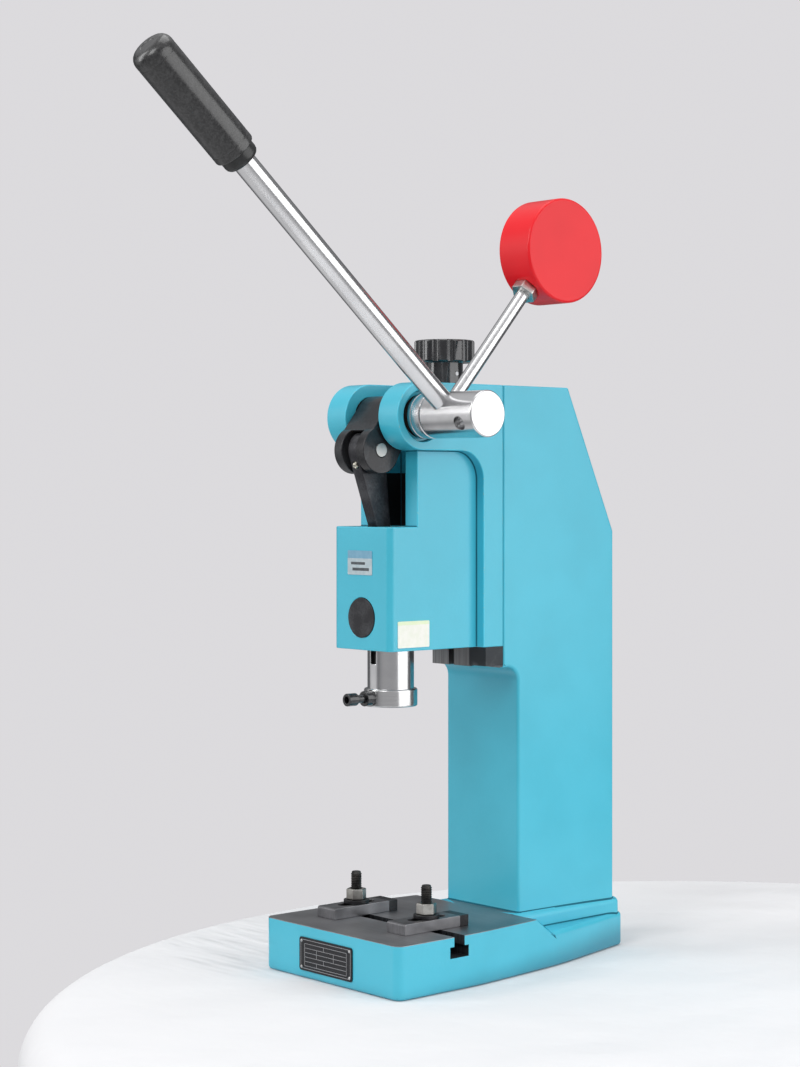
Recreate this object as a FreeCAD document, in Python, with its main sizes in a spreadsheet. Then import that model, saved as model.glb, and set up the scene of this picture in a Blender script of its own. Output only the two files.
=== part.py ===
import FreeCAD, Part
import Sketcher
import math
import os
import re

# A bench toggle press. The ram axis is the vertical line X = 0, Y = 0, the base stands on Z = 0,
# the operator is at -Y and the lever is on the +X side. All sizes are millimetres and degrees.

SIZES = [
    # base casting
    ("base_width", 150), ("base_height", 38), ("front_reach", 58), ("base_rear", 204),
    ("base_rear_width", 80), ("shoulder_y", 20), ("shoulder_width", 148), ("waist_y", 112),
    ("waist_width", 126), ("side_blend", 350), ("base_corner", 7), ("ramp_start", 84),
    ("ramp_end", 106), ("shelf_height", 26), ("shelf_round", 3.5), ("plinth_margin", 5),
    ("plinth_rear_margin", 1.5), ("plinth_setback", 4), ("plinth_round", 5),
    # column
    ("column_width", 79), ("column_front", 91.5), ("column_rear", 194), ("column_top", 430),
    ("overhang_height", 209), ("slide_face", 76), ("crown_rear", 145), ("slope_drop", 109),
    ("overhang_round", 11), ("column_edge", 2.5),
    # T-slot across the table
    ("slot_neck", 10), ("slot_neck_depth", 7), ("slot_width", 18), ("slot_width_depth", 8),
    # slide rail on the column
    ("rail_width", 42), ("rail_neck", 26), ("rail_depth", 16), ("rail_inset", 1),
    ("rail_length", 112), ("rail_slot", 6), ("rail_slot_depth", 5), ("rail_screw_spread", 9),
    ("rail_screw_end", 20), ("rail_screw_pitch", 28), ("slide_clearance", 0.05), ("face_gap", 0.3),
    # cap screws of the rail and the lift nut
    ("cap_shank", 2.5), ("cap_head", 4.25), ("cap_head_height", 5), ("cap_thread", 10),
    ("small_shank", 2), ("small_head", 3.5), ("small_head_height", 4), ("small_thread", 8),
    ("screw_play", 0.2),
    # lift screw, nut and knob
    ("screw_forward", 23), ("screw_radius", 6), ("screw_length", 145), ("screw_seat", 22),
    ("lift_nut_width", 28), ("lift_nut_front", 9), ("lift_nut_height", 24), ("lift_nut_drop", 98),
    ("nut_screw_spread", 10),
    ("channel_clearance", 0.6), ("crown_wall", 15), ("thrust_bush_wall", 3),
    ("thrust_flange", 5), ("thrust_flange_depth", 4), ("running_clearance", 0.05),
    ("knob_radius", 22.4), ("knob_height", 16.5), ("knob_stem_radius", 13.8), ("knob_stem_height", 17),
    ("knob_flutes", 12), ("knob_flute_radius", 3), ("knob_flute_depth", 1.6), ("knob_round", 1.5),
    ("knob_pin_radius", 1.5), ("knob_gap", 0.2),
    # head casting
    ("head_height", 193), ("plate_front", 56), ("housing_front", 28), ("housing_width", 63.5),
    ("housing_height", 89), ("housing_corner", 5.5), ("cheek_front", 2), ("boss_radius", 24.5),
    ("shaft_forward", 3.4), ("arm_fillet", 21), ("crank_slot", 36.4), ("slot_back", 26),
    ("boss_recess_radius", 18.5), ("boss_recess_depth", 4), ("link_relief_front", 24),
    ("link_relief_width", 17), ("link_relief_depth", 26),
    # gib and its foot
    ("gib_thickness", 5), ("gib_foot_height", 14), ("gib_foot_gap", 0.5), ("gib_foot_setback", 2),
    ("gib_screw_x", 30.5), ("gib_screw_spread", 4.5),
    # locking screws on the far side of the slide
    ("lock_radius", 4), ("lock_head", 6.5), ("lock_head_height", 5.5), ("lock_spread", 60),
    ("lock_rise", 48), ("lock_gap", 0.3),
    # shaft, bushes and hub
    ("journal_radius", 12.5), ("bush_wall", 2.5), ("hub_radius", 16.5), ("hub_start", 53),
    ("hub_end", 107), ("hub_chamfer", 0.8), ("collar_gap", 0.4), ("end_cap_radius", 17),
    ("end_cap_thickness", 4), ("end_gap", 0.3), ("end_screw_radius", 4), ("end_screw_head", 6.5),
    ("end_screw_head_height", 4.5), ("end_screw_length", 20), ("spare_hole_radius", 5),
    ("spare_hole_depth", 12), ("spare_hole_x", 93), ("spare_hole_angle", 65),
    # crank
    ("crank_throw", 31.3), ("crank_angle", 39), ("crank_hub_radius", 15.5), ("ear_radius", 17),
    ("crank_width", 33), ("fork_gap", 16), ("fork_play", 1.5), ("fork_mouth", 6),
    ("crank_pin_radius", 5), ("crank_pin_proud", 0.4),
    ("key_width", 6), ("key_height", 4), ("key_length", 14),
    # toggle link
    ("link_length", 106), ("link_width", 10), ("link_eye_radius", 13.5), ("link_taper", 61),
    ("link_half_depth", 6), ("lower_eye_radius", 9), ("link_bush_wall", 2), ("link_bush_gap", 0.2),
    ("oiler_radius", 2.6), ("oiler_height", 3), ("oiler_seat", 3), ("oiler_angle", 43),
    ("oiler_round", 1.2), ("ram_pin_radius", 5), ("ram_pin_length", 24),
    ("pin_slack", 0.6), ("pin_slack_rear", 6.4), ("pin_slack_up", 8.2),
    # ram and nose
    ("ram_radius", 17), ("pin_to_nose", 82.5), ("ram_crown", 16), ("fork_clearance", 0.3),
    ("fork_floor", 10), ("nose_radius", 19.5), ("nose_height", 13), ("nose_chamfer", 0.8),
    ("tool_bore_radius", 5), ("tool_bore_depth", 30), ("keyway_width", 6), ("keyway_depth", 3),
    ("keyway_start", 31), ("guide_below_pin", 25), ("guide_radius", 2.9), ("guide_gap", 0.3),
    ("tool_screw_radius", 3), ("tool_screw_reach", 33.5), ("tool_screw_tip", 0.5),
    ("tool_screw_head", 4.6), ("tool_screw_head_length", 8.5), ("tool_nut_radius", 5.6),
    ("tool_nut_length", 7.5), ("tool_nut_seat", 1),
    # guide plug in the housing
    ("plug_radius", 14.5), ("plug_thickness", 5), ("plug_proud", 0.6), ("plug_rise", 23.3),
    # lever and balance weight
    ("lever_x", 71), ("lever_angle", 41), ("lever_radius", 8), ("grip_start", 246),
    ("grip_length", 100), ("grip_radius", 14.7), ("grip_neck_radius", 12.5), ("grip_round", 7),
    ("ferrule_length", 9), ("lever_seat", 6), ("grip_cap", 8), ("rod_x", 60), ("rod_angle", 48.6),
    ("rod_radius", 5), ("rod_seat", 10), ("weight_distance", 164), ("weight_radius", 38.5),
    ("weight_width", 32), ("weight_round", 2), ("weight_seat", 20), ("weight_flat", 1.3),
    ("jam_nut_across", 17), ("jam_nut_height", 7),
    # clamps
    ("clamp_x", 39), ("strap_width", 20), ("strap_front", 29), ("strap_rear", 24),
    ("strap_thickness", 8), ("strap_slot_length", 24), ("strap_nose", 1), ("heel_length", 8),
    ("heel_height", 8), ("heel_pin_radius", 2), ("heel_pin_grip", 7), ("stud_radius", 4),
    ("stud_top", 69.5), ("bolt_head_width", 16.8), ("bolt_head_height", 6.5), ("slot_play", 0.2),
    ("washer_radius", 9.4), ("washer_thickness", 2.8), ("clamp_nut_across", 13),
    ("clamp_nut_height", 8), ("stud_clearance", 0.5),
    # plates and labels
    ("plate_width", 59), ("plate_height", 24), ("plate_thickness", 1), ("plate_x", -3.5),
    ("plate_middle", 17.8), ("plate_round", 2), ("rivet_radius", 1.2), ("rivet_proud", 0.6),
    ("rivet_inset", 2.6),
    ("label_width", 27), ("label_height", 17.5), ("label_thickness", 0.4), ("label_x", -1.5),
    ("label_rise", 63),
    ("side_label_width", 30), ("side_label_height", 19), ("side_label_y", -6),
    ("side_label_rise", 12),
]

doc = FreeCAD.newDocument("TogglePress")
sheet = doc.addObject("Spreadsheet::Sheet", "Sizes")
for row, (word, number) in enumerate(SIZES, start=1):
    sheet.set("A%d" % row, word)
    sheet.set("B%d" % row, str(number))
    sheet.setAlias("B%d" % row, word)
doc.recompute()
WORDS = set(word for word, number in SIZES)
NODES = {}


def formula(text):
    """Turn a formula on size names into an expression on the sheet's cells."""
    return re.sub(r"[a-z_]+", lambda m: "Sizes." + m.group() if m.group() in WORDS else m.group(),
                  str(text))


def size(word):
    return float(sheet.get(word))


# Places that several pieces share, as formulas on the sizes.
SHAFT_Y = "(-shaft_forward)"
SHAFT_Z = "(column_top - boss_radius)"
HEAD_BOTTOM = "(column_top - head_height)"
HOUSING_TOP = "(column_top - head_height + housing_height)"
HALF_HOUSING = "(housing_width / 2)"
HALF_COLUMN = "(column_width / 2)"
CRANK_PIN_Y = "(-shaft_forward - crank_throw * sin(crank_angle))"
CRANK_PIN_Z = "(column_top - boss_radius - crank_throw * cos(crank_angle))"
LINK_DROP = "sqrt(link_length^2 - (shaft_forward + crank_throw * sin(crank_angle))^2)"
RAM_PIN_Z = "(%s - %s)" % (CRANK_PIN_Z, LINK_DROP)
LINK_LEAN = "asin((shaft_forward + crank_throw * sin(crank_angle)) / link_length)"
NOSE_Z = "(%s - pin_to_nose)" % RAM_PIN_Z
GUIDE_Z = "(%s - guide_below_pin)" % RAM_PIN_Z
RAIL_FACE = "(slide_face - rail_depth)"
SCREW_Y = "(slide_face - screw_forward)"
OVERHANG = "(column_top - overhang_height)"
HEAD_BACK = "(slide_face - face_gap)"
NUT_TOP = "(column_top - lift_nut_drop)"
CROWN_Z = "(column_top - crown_wall)"
ARM_BOTTOM = "(column_top - 2 * boss_radius)"
RAIL_BOTTOM = "(column_top - overhang_height + rail_inset)"
SHAFT_END = "(-column_width / 2 - end_gap)"
CLAMP_FLOOR = "(base_height - slot_neck_depth - slot_play)"
WASHER_Z = "(base_height + strap_thickness)"
NUT_Z = "(base_height + strap_thickness + washer_thickness)"
LEVER_LEAN = "(90 - lever_angle)"
ROD_LEAN = "(90 - rod_angle)"
NOSE_MIDDLE = "(%s + nose_height / 2)" % NOSE_Z
BUSH_RADIUS = "(journal_radius + bush_wall)"
THRUST_RADIUS = "(screw_radius + thrust_bush_wall)"


# Building blocks: each makes one document object bound to the sheet.

def bind(obj, **formulas):
    for path, text in formulas.items():
        obj.setExpression(path, formula(text))
    return obj


def place(obj, x, y, z):
    for letter, text in (("x", x), ("y", y), ("z", z)):
        obj.setExpression("Placement.Base." + letter, formula(text))
    return obj


def turn(obj, axis, angle):
    """Turn an object about an axis by a positive formula in degrees."""
    obj.Placement.Rotation = FreeCAD.Rotation(FreeCAD.Vector(*axis), 30)
    obj.setExpression("Placement.Rotation.Angle", formula(angle))
    return obj


def on_arm(obj, x, side, lean, start):
    """Stand an object on the shaft axis, leaning to side (-1 front, 1 rear), some way out."""
    reach = "(%s) * sin(%s)" % (start, lean)
    rise = "(%s) * cos(%s)" % (start, lean)
    place(obj, x, "%s + %d * %s" % (SHAFT_Y, side, reach), "%s + %s" % (SHAFT_Z, rise))
    return turn(obj, (-side, 0, 0), lean)


def block(name, x, y, z, length, width, height):
    """A box from its low corner."""
    obj = doc.addObject("Part::Box", name)
    bind(obj, Length=length, Width=width, Height=height)
    return place(obj, x, y, z)


AXES = {"X": ((0, 1, 0), 90), "Y": ((1, 0, 0), -90), "Z": ((0, 0, 1), 0)}


def rod(name, axis, x, y, z, radius, length):
    """A cylinder that starts at a point and runs along +X, +Y or +Z."""
    obj = doc.addObject("Part::Cylinder", name)
    bind(obj, Radius=radius, Height=length)
    obj.Placement.Rotation = FreeCAD.Rotation(FreeCAD.Vector(*AXES[axis][0]), AXES[axis][1])
    return place(obj, x, y, z)


def cone(name, axis, x, y, z, radius, end_radius, length):
    obj = doc.addObject("Part::Cone", name)
    bind(obj, Radius1=radius, Radius2=end_radius, Height=length)
    obj.Placement.Rotation = FreeCAD.Rotation(FreeCAD.Vector(*AXES[axis][0]), AXES[axis][1])
    return place(obj, x, y, z)


def hexagon(name, axis, x, y, z, across, length):
    """A hexagonal bar, given by its width across flats."""
    obj = doc.addObject("Part::Prism", name)
    obj.Polygon = 6
    bind(obj, Circumradius="(%s) / sqrt(3)" % across, Height=length)
    obj.Placement.Rotation = FreeCAD.Rotation(FreeCAD.Vector(*AXES[axis][0]), AXES[axis][1])
    return place(obj, x, y, z)


def join(name, *parts):
    obj = doc.addObject("Part::MultiFuse", name)
    obj.Shapes = list(parts)
    obj.Refine = True
    return obj


def carve(name, base, *tools):
    obj = doc.addObject("Part::Cut", name)
    obj.Base = base
    obj.Tool = tools[0] if len(tools) == 1 else join(name + "_tools", *tools)
    obj.Refine = True
    return obj


def common(name, first, second):
    obj = doc.addObject("Part::MultiCommon", name)
    obj.Shapes = [first, second]
    return obj


def group(name, *parts):
    """Separate solids of one node."""
    obj = doc.addObject("Part::Compound", name)
    obj.Links = list(parts)
    return obj


def soften(name, base, radius, choose, chamfer=False):
    """Round or chamfer the edges that choose picks, by the size called radius."""
    doc.recompute()
    value = size(radius)
    picked = [n for n, edge in enumerate(base.Shape.Edges, start=1) if choose(edge)]
    obj = doc.addObject("Part::Chamfer" if chamfer else "Part::Fillet", name)
    obj.Base = base
    obj.Edges = [(n, value, value) for n in picked]
    return obj


def node(name, obj):
    obj.Label = name
    NODES[name] = obj
    return obj


def runs_along(edge, axis):
    """True for a straight edge parallel to the axis called X, Y or Z."""
    if not isinstance(edge.Curve, Part.Line):
        return False
    return abs(getattr(edge.tangentAt(edge.FirstParameter), axis.lower())) > 0.999


def body(name):
    return doc.addObject("PartDesign::Body", name)


def plane(owner, role):
    return [item for item in owner.Origin.OriginFeatures if item.Role == role][0]


def sketch(owner, role, name):
    obj = owner.newObject("Sketcher::SketchObject", name)
    obj.AttachmentSupport = [(plane(owner, role), "")]
    obj.MapMode = "FlatFace"
    return obj


def outline(owner, role, name, points):
    """A closed polygon in a sketch; each corner is a pair of formulas held by constraints."""
    obj = sketch(owner, role, name)
    count = len(points)
    ring = [2 * math.pi * k / count for k in range(count)]
    spots = [FreeCAD.Vector(10 * math.cos(a), 10 * math.sin(a), 0) for a in ring]
    for k in range(count):
        obj.addGeometry(Part.LineSegment(spots[k], spots[(k + 1) % count]), False)
    for k in range(count):
        obj.addConstraint(Sketcher.Constraint("Coincident", k, 2, (k + 1) % count, 1))
    for k, (across, up) in enumerate(points):
        hold(obj, k, "DistanceX", across, spots[k].x)
        hold(obj, k, "DistanceY", up, spots[k].y)
    return obj


def hold(obj, corner, kind, text, start):
    """Hold one coordinate of a corner: on the sketch's axis where it is 0, else by a formula."""
    if text == "0":
        rail = -2 if kind == "DistanceX" else -1
        obj.addConstraint(Sketcher.Constraint("PointOnObject", corner, 1, rail))
        return
    index = obj.addConstraint(Sketcher.Constraint(kind, corner, 1, start))
    label = "corner%d%s" % (corner + 1, kind[-1])
    obj.renameConstraint(index, label)
    obj.setExpression("Constraints." + label, formula(text))


def pad(owner, name, role, points, length, midplane=False, back=False):
    """Add a polygon's prism to a body."""
    feature = owner.newObject("PartDesign::Pad", name)
    feature.Profile = outline(owner, role, name + "_sketch", points)
    feature.Midplane = midplane
    feature.Reversed = back
    return bind(feature, Length=length)


def turned(name, points):
    """A body of revolution about its own Z axis, from half a profile of (radius, height)."""
    owner = body(name)
    feature = owner.newObject("PartDesign::Revolution", name + "_turn")
    feature.Profile = outline(owner, "XZ_Plane", name + "_profile", points)
    feature.ReferenceAxis = (feature.Profile[0], ["V_Axis"])
    feature.Angle = 360
    return owner


def dress(owner, name, radius, choose, kind="PartDesign::Fillet"):
    """Fillet or chamfer the edges of a body that choose picks, by the size called radius."""
    doc.recompute()
    tip = owner.Tip
    picked = ["Edge%d" % n for n, edge in enumerate(tip.Shape.Edges, start=1) if choose(edge)]
    feature = owner.newObject(kind, name)
    feature.Base = (tip, picked)
    return bind(feature, **{"Size" if kind.endswith("Chamfer") else "Radius": radius})


def near(edge, x=None, y=None, z=None, gap=0.05):
    """True for an edge whose middle lies at the given coordinates."""
    middle = edge.BoundBox.Center
    wanted = ((middle.x, x), (middle.y, y), (middle.z, z))
    return all(goal is None or abs(at - goal) < gap for at, goal in wanted)


def lie(obj, axis):
    """Lay an object made along +Z down along +X or +Y."""
    obj.Placement.Rotation = FreeCAD.Rotation(FreeCAD.Vector(*AXES[axis][0]), AXES[axis][1])
    return obj


def prism(name, points, bottom, top):
    """An upright body with a polygon for its plan."""
    owner = body(name)
    pad(owner, name + "_pad", "XY_Plane", points, "(%s) - (%s)" % (top, bottom))
    owner.setExpression("Placement.Base.z", formula(bottom))
    return owner


STEP = {"X": (1, 0, 0), "Y": (0, 1, 0), "Z": (0, 0, 1)}
SOCKET = 1.6    # width across flats of a hexagon socket, in shank radii


def onward(axis, spot, by):
    """A spot moved along an axis by a formula."""
    return ["%s + %d * (%s)" % (at, way, by) for at, way in zip(spot, STEP[axis])]


def screw(name, axis, spot, head, head_height, shank, length):
    """A socket head screw whose head starts at spot and whose shank runs on along the axis."""
    cap = rod(name + "_cap", axis, *spot, head, head_height)
    stem = rod(name + "_stem", axis, *onward(axis, spot, head_height), shank, length)
    socket = hexagon(name + "_socket", axis, *spot, "%s * %s" % (SOCKET, shank),
                     "%s / 2" % head_height)
    return carve(name, join(name + "_blank", cap, stem), socket)


def sunk_hole(name, axis, spot, head, head_height, shank, length):
    """The hole for a sunk screw: its counterbore, then a clearance bore of the given length."""
    cap = rod(name + "_sink", axis, *spot, "%s + screw_play" % head, head_height)
    bore = rod(name + "_bore", axis, *onward(axis, spot, head_height), "%s + screw_play" % shank,
               length)
    return [cap, bore]


def flank(y):
    """Half the width of the dovetail at a given depth."""
    slope = "(rail_width - rail_neck) / (2 * rail_depth)"
    return "(rail_width / 2 - ((%s) - %s) * %s)" % (y, RAIL_FACE, slope)


# The frame: base and column in one casting, the slide rail and the lift nut.

def rail_screw_spots(y):
    rows = ["%s + rail_screw_end + %d * rail_screw_pitch" % (OVERHANG, n) for n in range(3)]
    return [(side + "rail_screw_spread", y, row) for row in rows for side in ("-", "")]


def tapered(name, front, back, front_half, back_half, height):
    """A body whose plan is wide in front and narrower behind."""
    owner = body(name)
    pad(owner, name + "_pad", "XY_Plane", [
        ("-%s" % front_half, front), (front_half, front), (back_half, back), ("-%s" % back_half, back),
    ], height)
    return owner


def base_block(name, height):
    """The whole plan of the base: it draws in gently behind the T-slot, then more towards the back."""
    right = [("(base_width / 2)", "-front_reach"), ("(shoulder_width / 2)", "shoulder_y"),
             ("(waist_width / 2)", "waist_y"), ("(base_rear_width / 2)", "base_rear")]
    owner = body(name)
    pad(owner, name + "_pad", "XY_Plane",
        right + [("-" + half, y) for half, y in reversed(right)], height)
    dress(owner, name + "_corners", "base_corner",
          lambda e: runs_along(e, "Z") and (near(e, y=-size("front_reach"))
                                            or near(e, y=size("base_rear"))))
    dress(owner, name + "_blends", "side_blend",
          lambda e: runs_along(e, "Z") and (near(e, y=size("shoulder_y"))
                                            or near(e, y=size("waist_y"))))
    return owner


def make_base_column():
    shelf = base_block("shelf", "shelf_height")
    dress(shelf, "shelf_edge", "shelf_round", lambda e: near(e, z=size("shelf_height")))
    behind = body("behind_table")
    pad(behind, "behind_table_pad", "YZ_Plane", [
        ("ramp_start", "base_height"), ("ramp_end", "shelf_height - shelf_round"),
        ("2 * base_rear", "shelf_height - shelf_round"), ("2 * base_rear", "2 * base_height"),
        ("ramp_start", "2 * base_height"),
    ], "2 * base_width", midplane=True)
    table = carve("table", base_block("table_block", "base_height"), behind)
    plinth = tapered("plinth", "(ramp_start - 2 * plinth_round)", "(base_rear - plinth_setback)",
                     "(%s + plinth_margin)" % HALF_COLUMN, "(%s + plinth_rear_margin)" % HALF_COLUMN,
                     "base_height")
    dress(plinth, "plinth_rounds", "plinth_round",
          lambda e: near(e, z=size("base_height")) or runs_along(e, "Z"))
    column = body("column")
    pad(column, "column_pad", "YZ_Plane", [
        ("column_front", "0"), ("column_rear", "0"), ("column_rear", "column_top - slope_drop"),
        ("crown_rear", "column_top"), ("slide_face", "column_top"), ("slide_face", OVERHANG),
        ("column_front", OVERHANG),
    ], "column_width", midplane=True)
    dress(column, "overhang_fillet", "overhang_round",
          lambda e: runs_along(e, "X") and near(e, y=size("column_front")) and e.BoundBox.ZMin > 1)
    dress(column, "column_edges", "column_edge",
          lambda e: runs_along(e, "Z") or near(e, y=(size("crown_rear") + size("column_rear")) / 2))
    neck = block("slot_neck_cut", "-base_width", "-slot_neck / 2", "base_height - slot_neck_depth",
                 "2 * base_width", "slot_neck", "2 * slot_neck_depth")
    wide = block("slot_wide_cut", "-base_width", "-slot_width / 2",
                 "base_height - slot_neck_depth - slot_width_depth", "2 * base_width",
                 "slot_width", "slot_width_depth")
    taps = [rod("rail_tap", "Y", *spot, "cap_shank", "cap_thread")
            for spot in rail_screw_spots("slide_face")]
    whole = join("base_casting", shelf, table, plinth, column)
    node("base_column", carve("base_column", whole, neck, wide, *taps))


def make_slide_rail():
    bar = prism("rail_bar", [
        ("-rail_width / 2", RAIL_FACE), ("rail_width / 2", RAIL_FACE),
        ("rail_neck / 2", "slide_face"), ("-rail_neck / 2", "slide_face"),
    ], RAIL_BOTTOM, RAIL_BOTTOM + " + rail_length")
    cuts = [block("rail_slot_cut", "-rail_slot / 2", RAIL_FACE, RAIL_BOTTOM, "rail_slot",
                  "rail_slot_depth", "rail_length")]
    for spot in rail_screw_spots(RAIL_FACE):
        cuts += sunk_hole("rail_hole", "Y", spot, "cap_head", "cap_head_height", "cap_shank",
                          "rail_depth")
    cuts += [rod("nut_tap", "Y", *spot, "small_shank", "small_thread")
             for spot in nut_screw_spots(RAIL_FACE)]
    node("slide_rail", carve("slide_rail", bar, *cuts))
    screws = [screw("rail_screw", "Y", spot, "cap_head", "cap_head_height", "cap_shank",
                    "rail_depth - cap_head_height + cap_thread")
              for spot in rail_screw_spots(RAIL_FACE)]
    node("rail_screws", group("rail_screws", *screws))


def nut_screw_spots(y):
    row = "%s - lift_nut_height / 2" % NUT_TOP
    return [(side + "nut_screw_spread", y, row) for side in ("-", "")]


def make_lift_nut():
    front = "%s - lift_nut_front" % SCREW_Y
    low = "%s - lift_nut_height" % NUT_TOP
    blank = block("nut_block", "-lift_nut_width / 2", front, low, "lift_nut_width",
                  "%s - (%s)" % (RAIL_FACE, front), "lift_nut_height")
    tenon = block("nut_tenon", "-rail_slot / 2", RAIL_FACE, low, "rail_slot",
                  "rail_slot_depth - screw_play", "lift_nut_height")
    cuts = [rod("nut_bore", "Z", 0, SCREW_Y, low, "screw_radius + running_clearance",
                "lift_nut_height")]
    for spot in nut_screw_spots(front):
        cuts += sunk_hole("nut_hole", "Y", spot, "small_head", "small_head_height", "small_shank",
                          "%s - (%s) - small_head_height" % (RAIL_FACE, front))
    node("lift_nut", carve("lift_nut", join("nut_blank", blank, tenon), *cuts))
    length = "%s - (%s) - small_head_height + small_thread" % (RAIL_FACE, front)
    screws = [screw("nut_screw", "Y", spot, "small_head", "small_head_height", "small_shank", length)
              for spot in nut_screw_spots(front)]
    node("lift_nut_screws", group("lift_nut_screws", *screws))


def make_nameplate():
    plate = block("plate_block", "plate_x - plate_width / 2", "-front_reach - plate_thickness",
                  "plate_middle - plate_height / 2", "plate_width", "plate_thickness", "plate_height")
    plate = soften("plate_rounded", plate, "plate_round", lambda e: runs_along(e, "Y"))
    node("nameplate", plate)
    rivets = [rod("rivet", "Y", "plate_x %s (plate_width / 2 - rivet_inset)" % across,
                  "-front_reach - plate_thickness - rivet_proud",
                  "plate_middle %s (plate_height / 2 - rivet_inset)" % up,
                  "rivet_radius", "rivet_proud")
              for across in "+-" for up in "+-"]
    node("nameplate_rivets", group("nameplate_rivets", *rivets))


# The head: its casting, bushes, gib, locking screws, ram guide and labels.

def make_head_casting():
    plate = body("head_plate")
    pad(plate, "head_side", "YZ_Plane", [
        ("plate_front", HEAD_BOTTOM), (HEAD_BACK, HEAD_BOTTOM), (HEAD_BACK, "column_top"),
        (SHAFT_Y, "column_top"), (SHAFT_Y, ARM_BOTTOM), ("plate_front", ARM_BOTTOM),
    ], "column_width", midplane=True)
    dress(plate, "arm_blend", "arm_fillet",
          lambda e: runs_along(e, "X") and near(e, y=size("plate_front"))
          and e.BoundBox.ZMin > size("column_top") - size("head_height") + 1)
    boss = rod("head_boss", "X", "-" + HALF_COLUMN, SHAFT_Y, SHAFT_Z, "boss_radius", "column_width")
    housing = block("housing_block", "-" + HALF_HOUSING, "-housing_front", HEAD_BOTTOM,
                    "housing_width", "housing_front + plate_front", "housing_height")
    housing = soften("housing", housing, "housing_corner",
                     lambda e: runs_along(e, "Z") and near(e, y=-size("housing_front")))
    cheeks = block("cheek_block", "-" + HALF_HOUSING, "-cheek_front", HOUSING_TOP, "housing_width",
                   "cheek_front + plate_front", "%s - %s" % (ARM_BOTTOM, HOUSING_TOP))
    whole = join("head_blank", plate, boss, housing, cheeks)
    node("head_casting", carve("head_casting", whole, *head_cuts()))


def head_cuts():
    clear_front = "boss_radius + shaft_forward + housing_front"
    cuts = [
        block("crank_slot_cut", "-crank_slot / 2", "-(%s)" % clear_front, HOUSING_TOP, "crank_slot",
              "%s + slot_back" % clear_front, "head_height"),
        rail_channel(),
        block("screw_channel", "-lift_nut_width / 2 - channel_clearance",
              "%s - lift_nut_front - channel_clearance" % SCREW_Y, HEAD_BOTTOM,
              "lift_nut_width + 2 * channel_clearance",
              "lift_nut_front + channel_clearance + screw_forward - rail_depth",
              "head_height - crown_wall"),
        rod("ram_bore", "Z", 0, 0, HEAD_BOTTOM, "ram_radius + running_clearance", "housing_height"),
        block("link_relief", "-link_relief_width / 2", "-link_relief_front",
              "%s - link_relief_depth" % HOUSING_TOP, "link_relief_width", "link_relief_front",
              "link_relief_depth"),
        rod("shaft_bore", "X", "-" + HALF_COLUMN, SHAFT_Y, SHAFT_Z, BUSH_RADIUS, "column_width"),
        rod("boss_recess", "X", HALF_COLUMN + " - boss_recess_depth", SHAFT_Y, SHAFT_Z,
            "boss_recess_radius", "boss_recess_depth"),
        rod("thrust_bore", "Z", 0, SCREW_Y, CROWN_Z, THRUST_RADIUS, "crown_wall"),
        rod("thrust_seat", "Z", 0, SCREW_Y, "column_top - thrust_flange_depth",
            THRUST_RADIUS + " + thrust_flange", "thrust_flange_depth"),
        rod("plug_seat", "Y", 0, "-housing_front", HEAD_BOTTOM + " + plug_rise", "plug_radius",
            "plug_thickness - plug_proud"),
        rod("guide_hole", "Y", 0, "-housing_front", GUIDE_Z, "guide_radius", "housing_front"),
    ]
    cuts += [rod("gib_tap", "Z", *spot, "small_shank", "small_thread")
             for spot in gib_screw_spots(HEAD_BOTTOM)]
    cuts += [rod("lock_tap", "X", *spot, "lock_radius", HALF_COLUMN)
             for spot in lock_spots("-" + HALF_COLUMN)]
    return cuts


def rail_channel():
    """The dovetail channel: the rail, its clearances and the gib."""
    face = RAIL_FACE + " - face_gap"
    mouth = "slide_face + face_gap"
    return prism("rail_channel", [
        ("-%s - slide_clearance" % flank(face), face),
        ("%s + slide_clearance + gib_thickness" % flank(face), face),
        ("%s + slide_clearance + gib_thickness" % flank(mouth), mouth),
        ("-%s - slide_clearance" % flank(mouth), mouth),
    ], HEAD_BOTTOM, CROWN_Z)


def gib_screw_spots(z):
    middle = "(%s + %s) / 2" % (RAIL_FACE, HEAD_BACK)
    return [("gib_screw_x %s gib_screw_spread" % side, middle, z) for side in "-+"]


def make_gib():
    foot_z = HEAD_BOTTOM + " - gib_foot_height"
    strip = prism("gib_strip", [
        ("%s + slide_clearance" % flank(RAIL_FACE), RAIL_FACE),
        ("%s + slide_clearance + gib_thickness" % flank(RAIL_FACE), RAIL_FACE),
        ("%s + slide_clearance + gib_thickness" % flank(HEAD_BACK), HEAD_BACK),
        ("%s + slide_clearance" % flank(HEAD_BACK), HEAD_BACK),
    ], foot_z, CROWN_Z)
    inner = "rail_width / 2 + gib_foot_gap"
    foot = block("gib_foot", inner, "plate_front + gib_foot_setback", foot_z,
                 "%s - (%s)" % (HALF_COLUMN, inner),
                 "%s - plate_front - gib_foot_setback" % HEAD_BACK, "gib_foot_height")
    cuts = []
    for spot in gib_screw_spots(foot_z):
        cuts += sunk_hole("gib_hole", "Z", spot, "small_head", "small_head_height", "small_shank",
                          "gib_foot_height - small_head_height")
    node("gib", carve("gib", join("gib_blank", strip, foot), *cuts))
    screws = [screw("gib_screw", "Z", spot, "small_head", "small_head_height", "small_shank",
                    "gib_foot_height - small_head_height + small_thread")
              for spot in gib_screw_spots(foot_z)]
    node("gib_screws", group("gib_screws", *screws))


def lock_spots(x):
    middle = "%s + rail_depth / 2" % RAIL_FACE
    low = "%s + lock_rise" % HEAD_BOTTOM
    return [(x, middle, "%s %s lock_spread / 2" % (low, side)) for side in "-+"]


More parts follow.
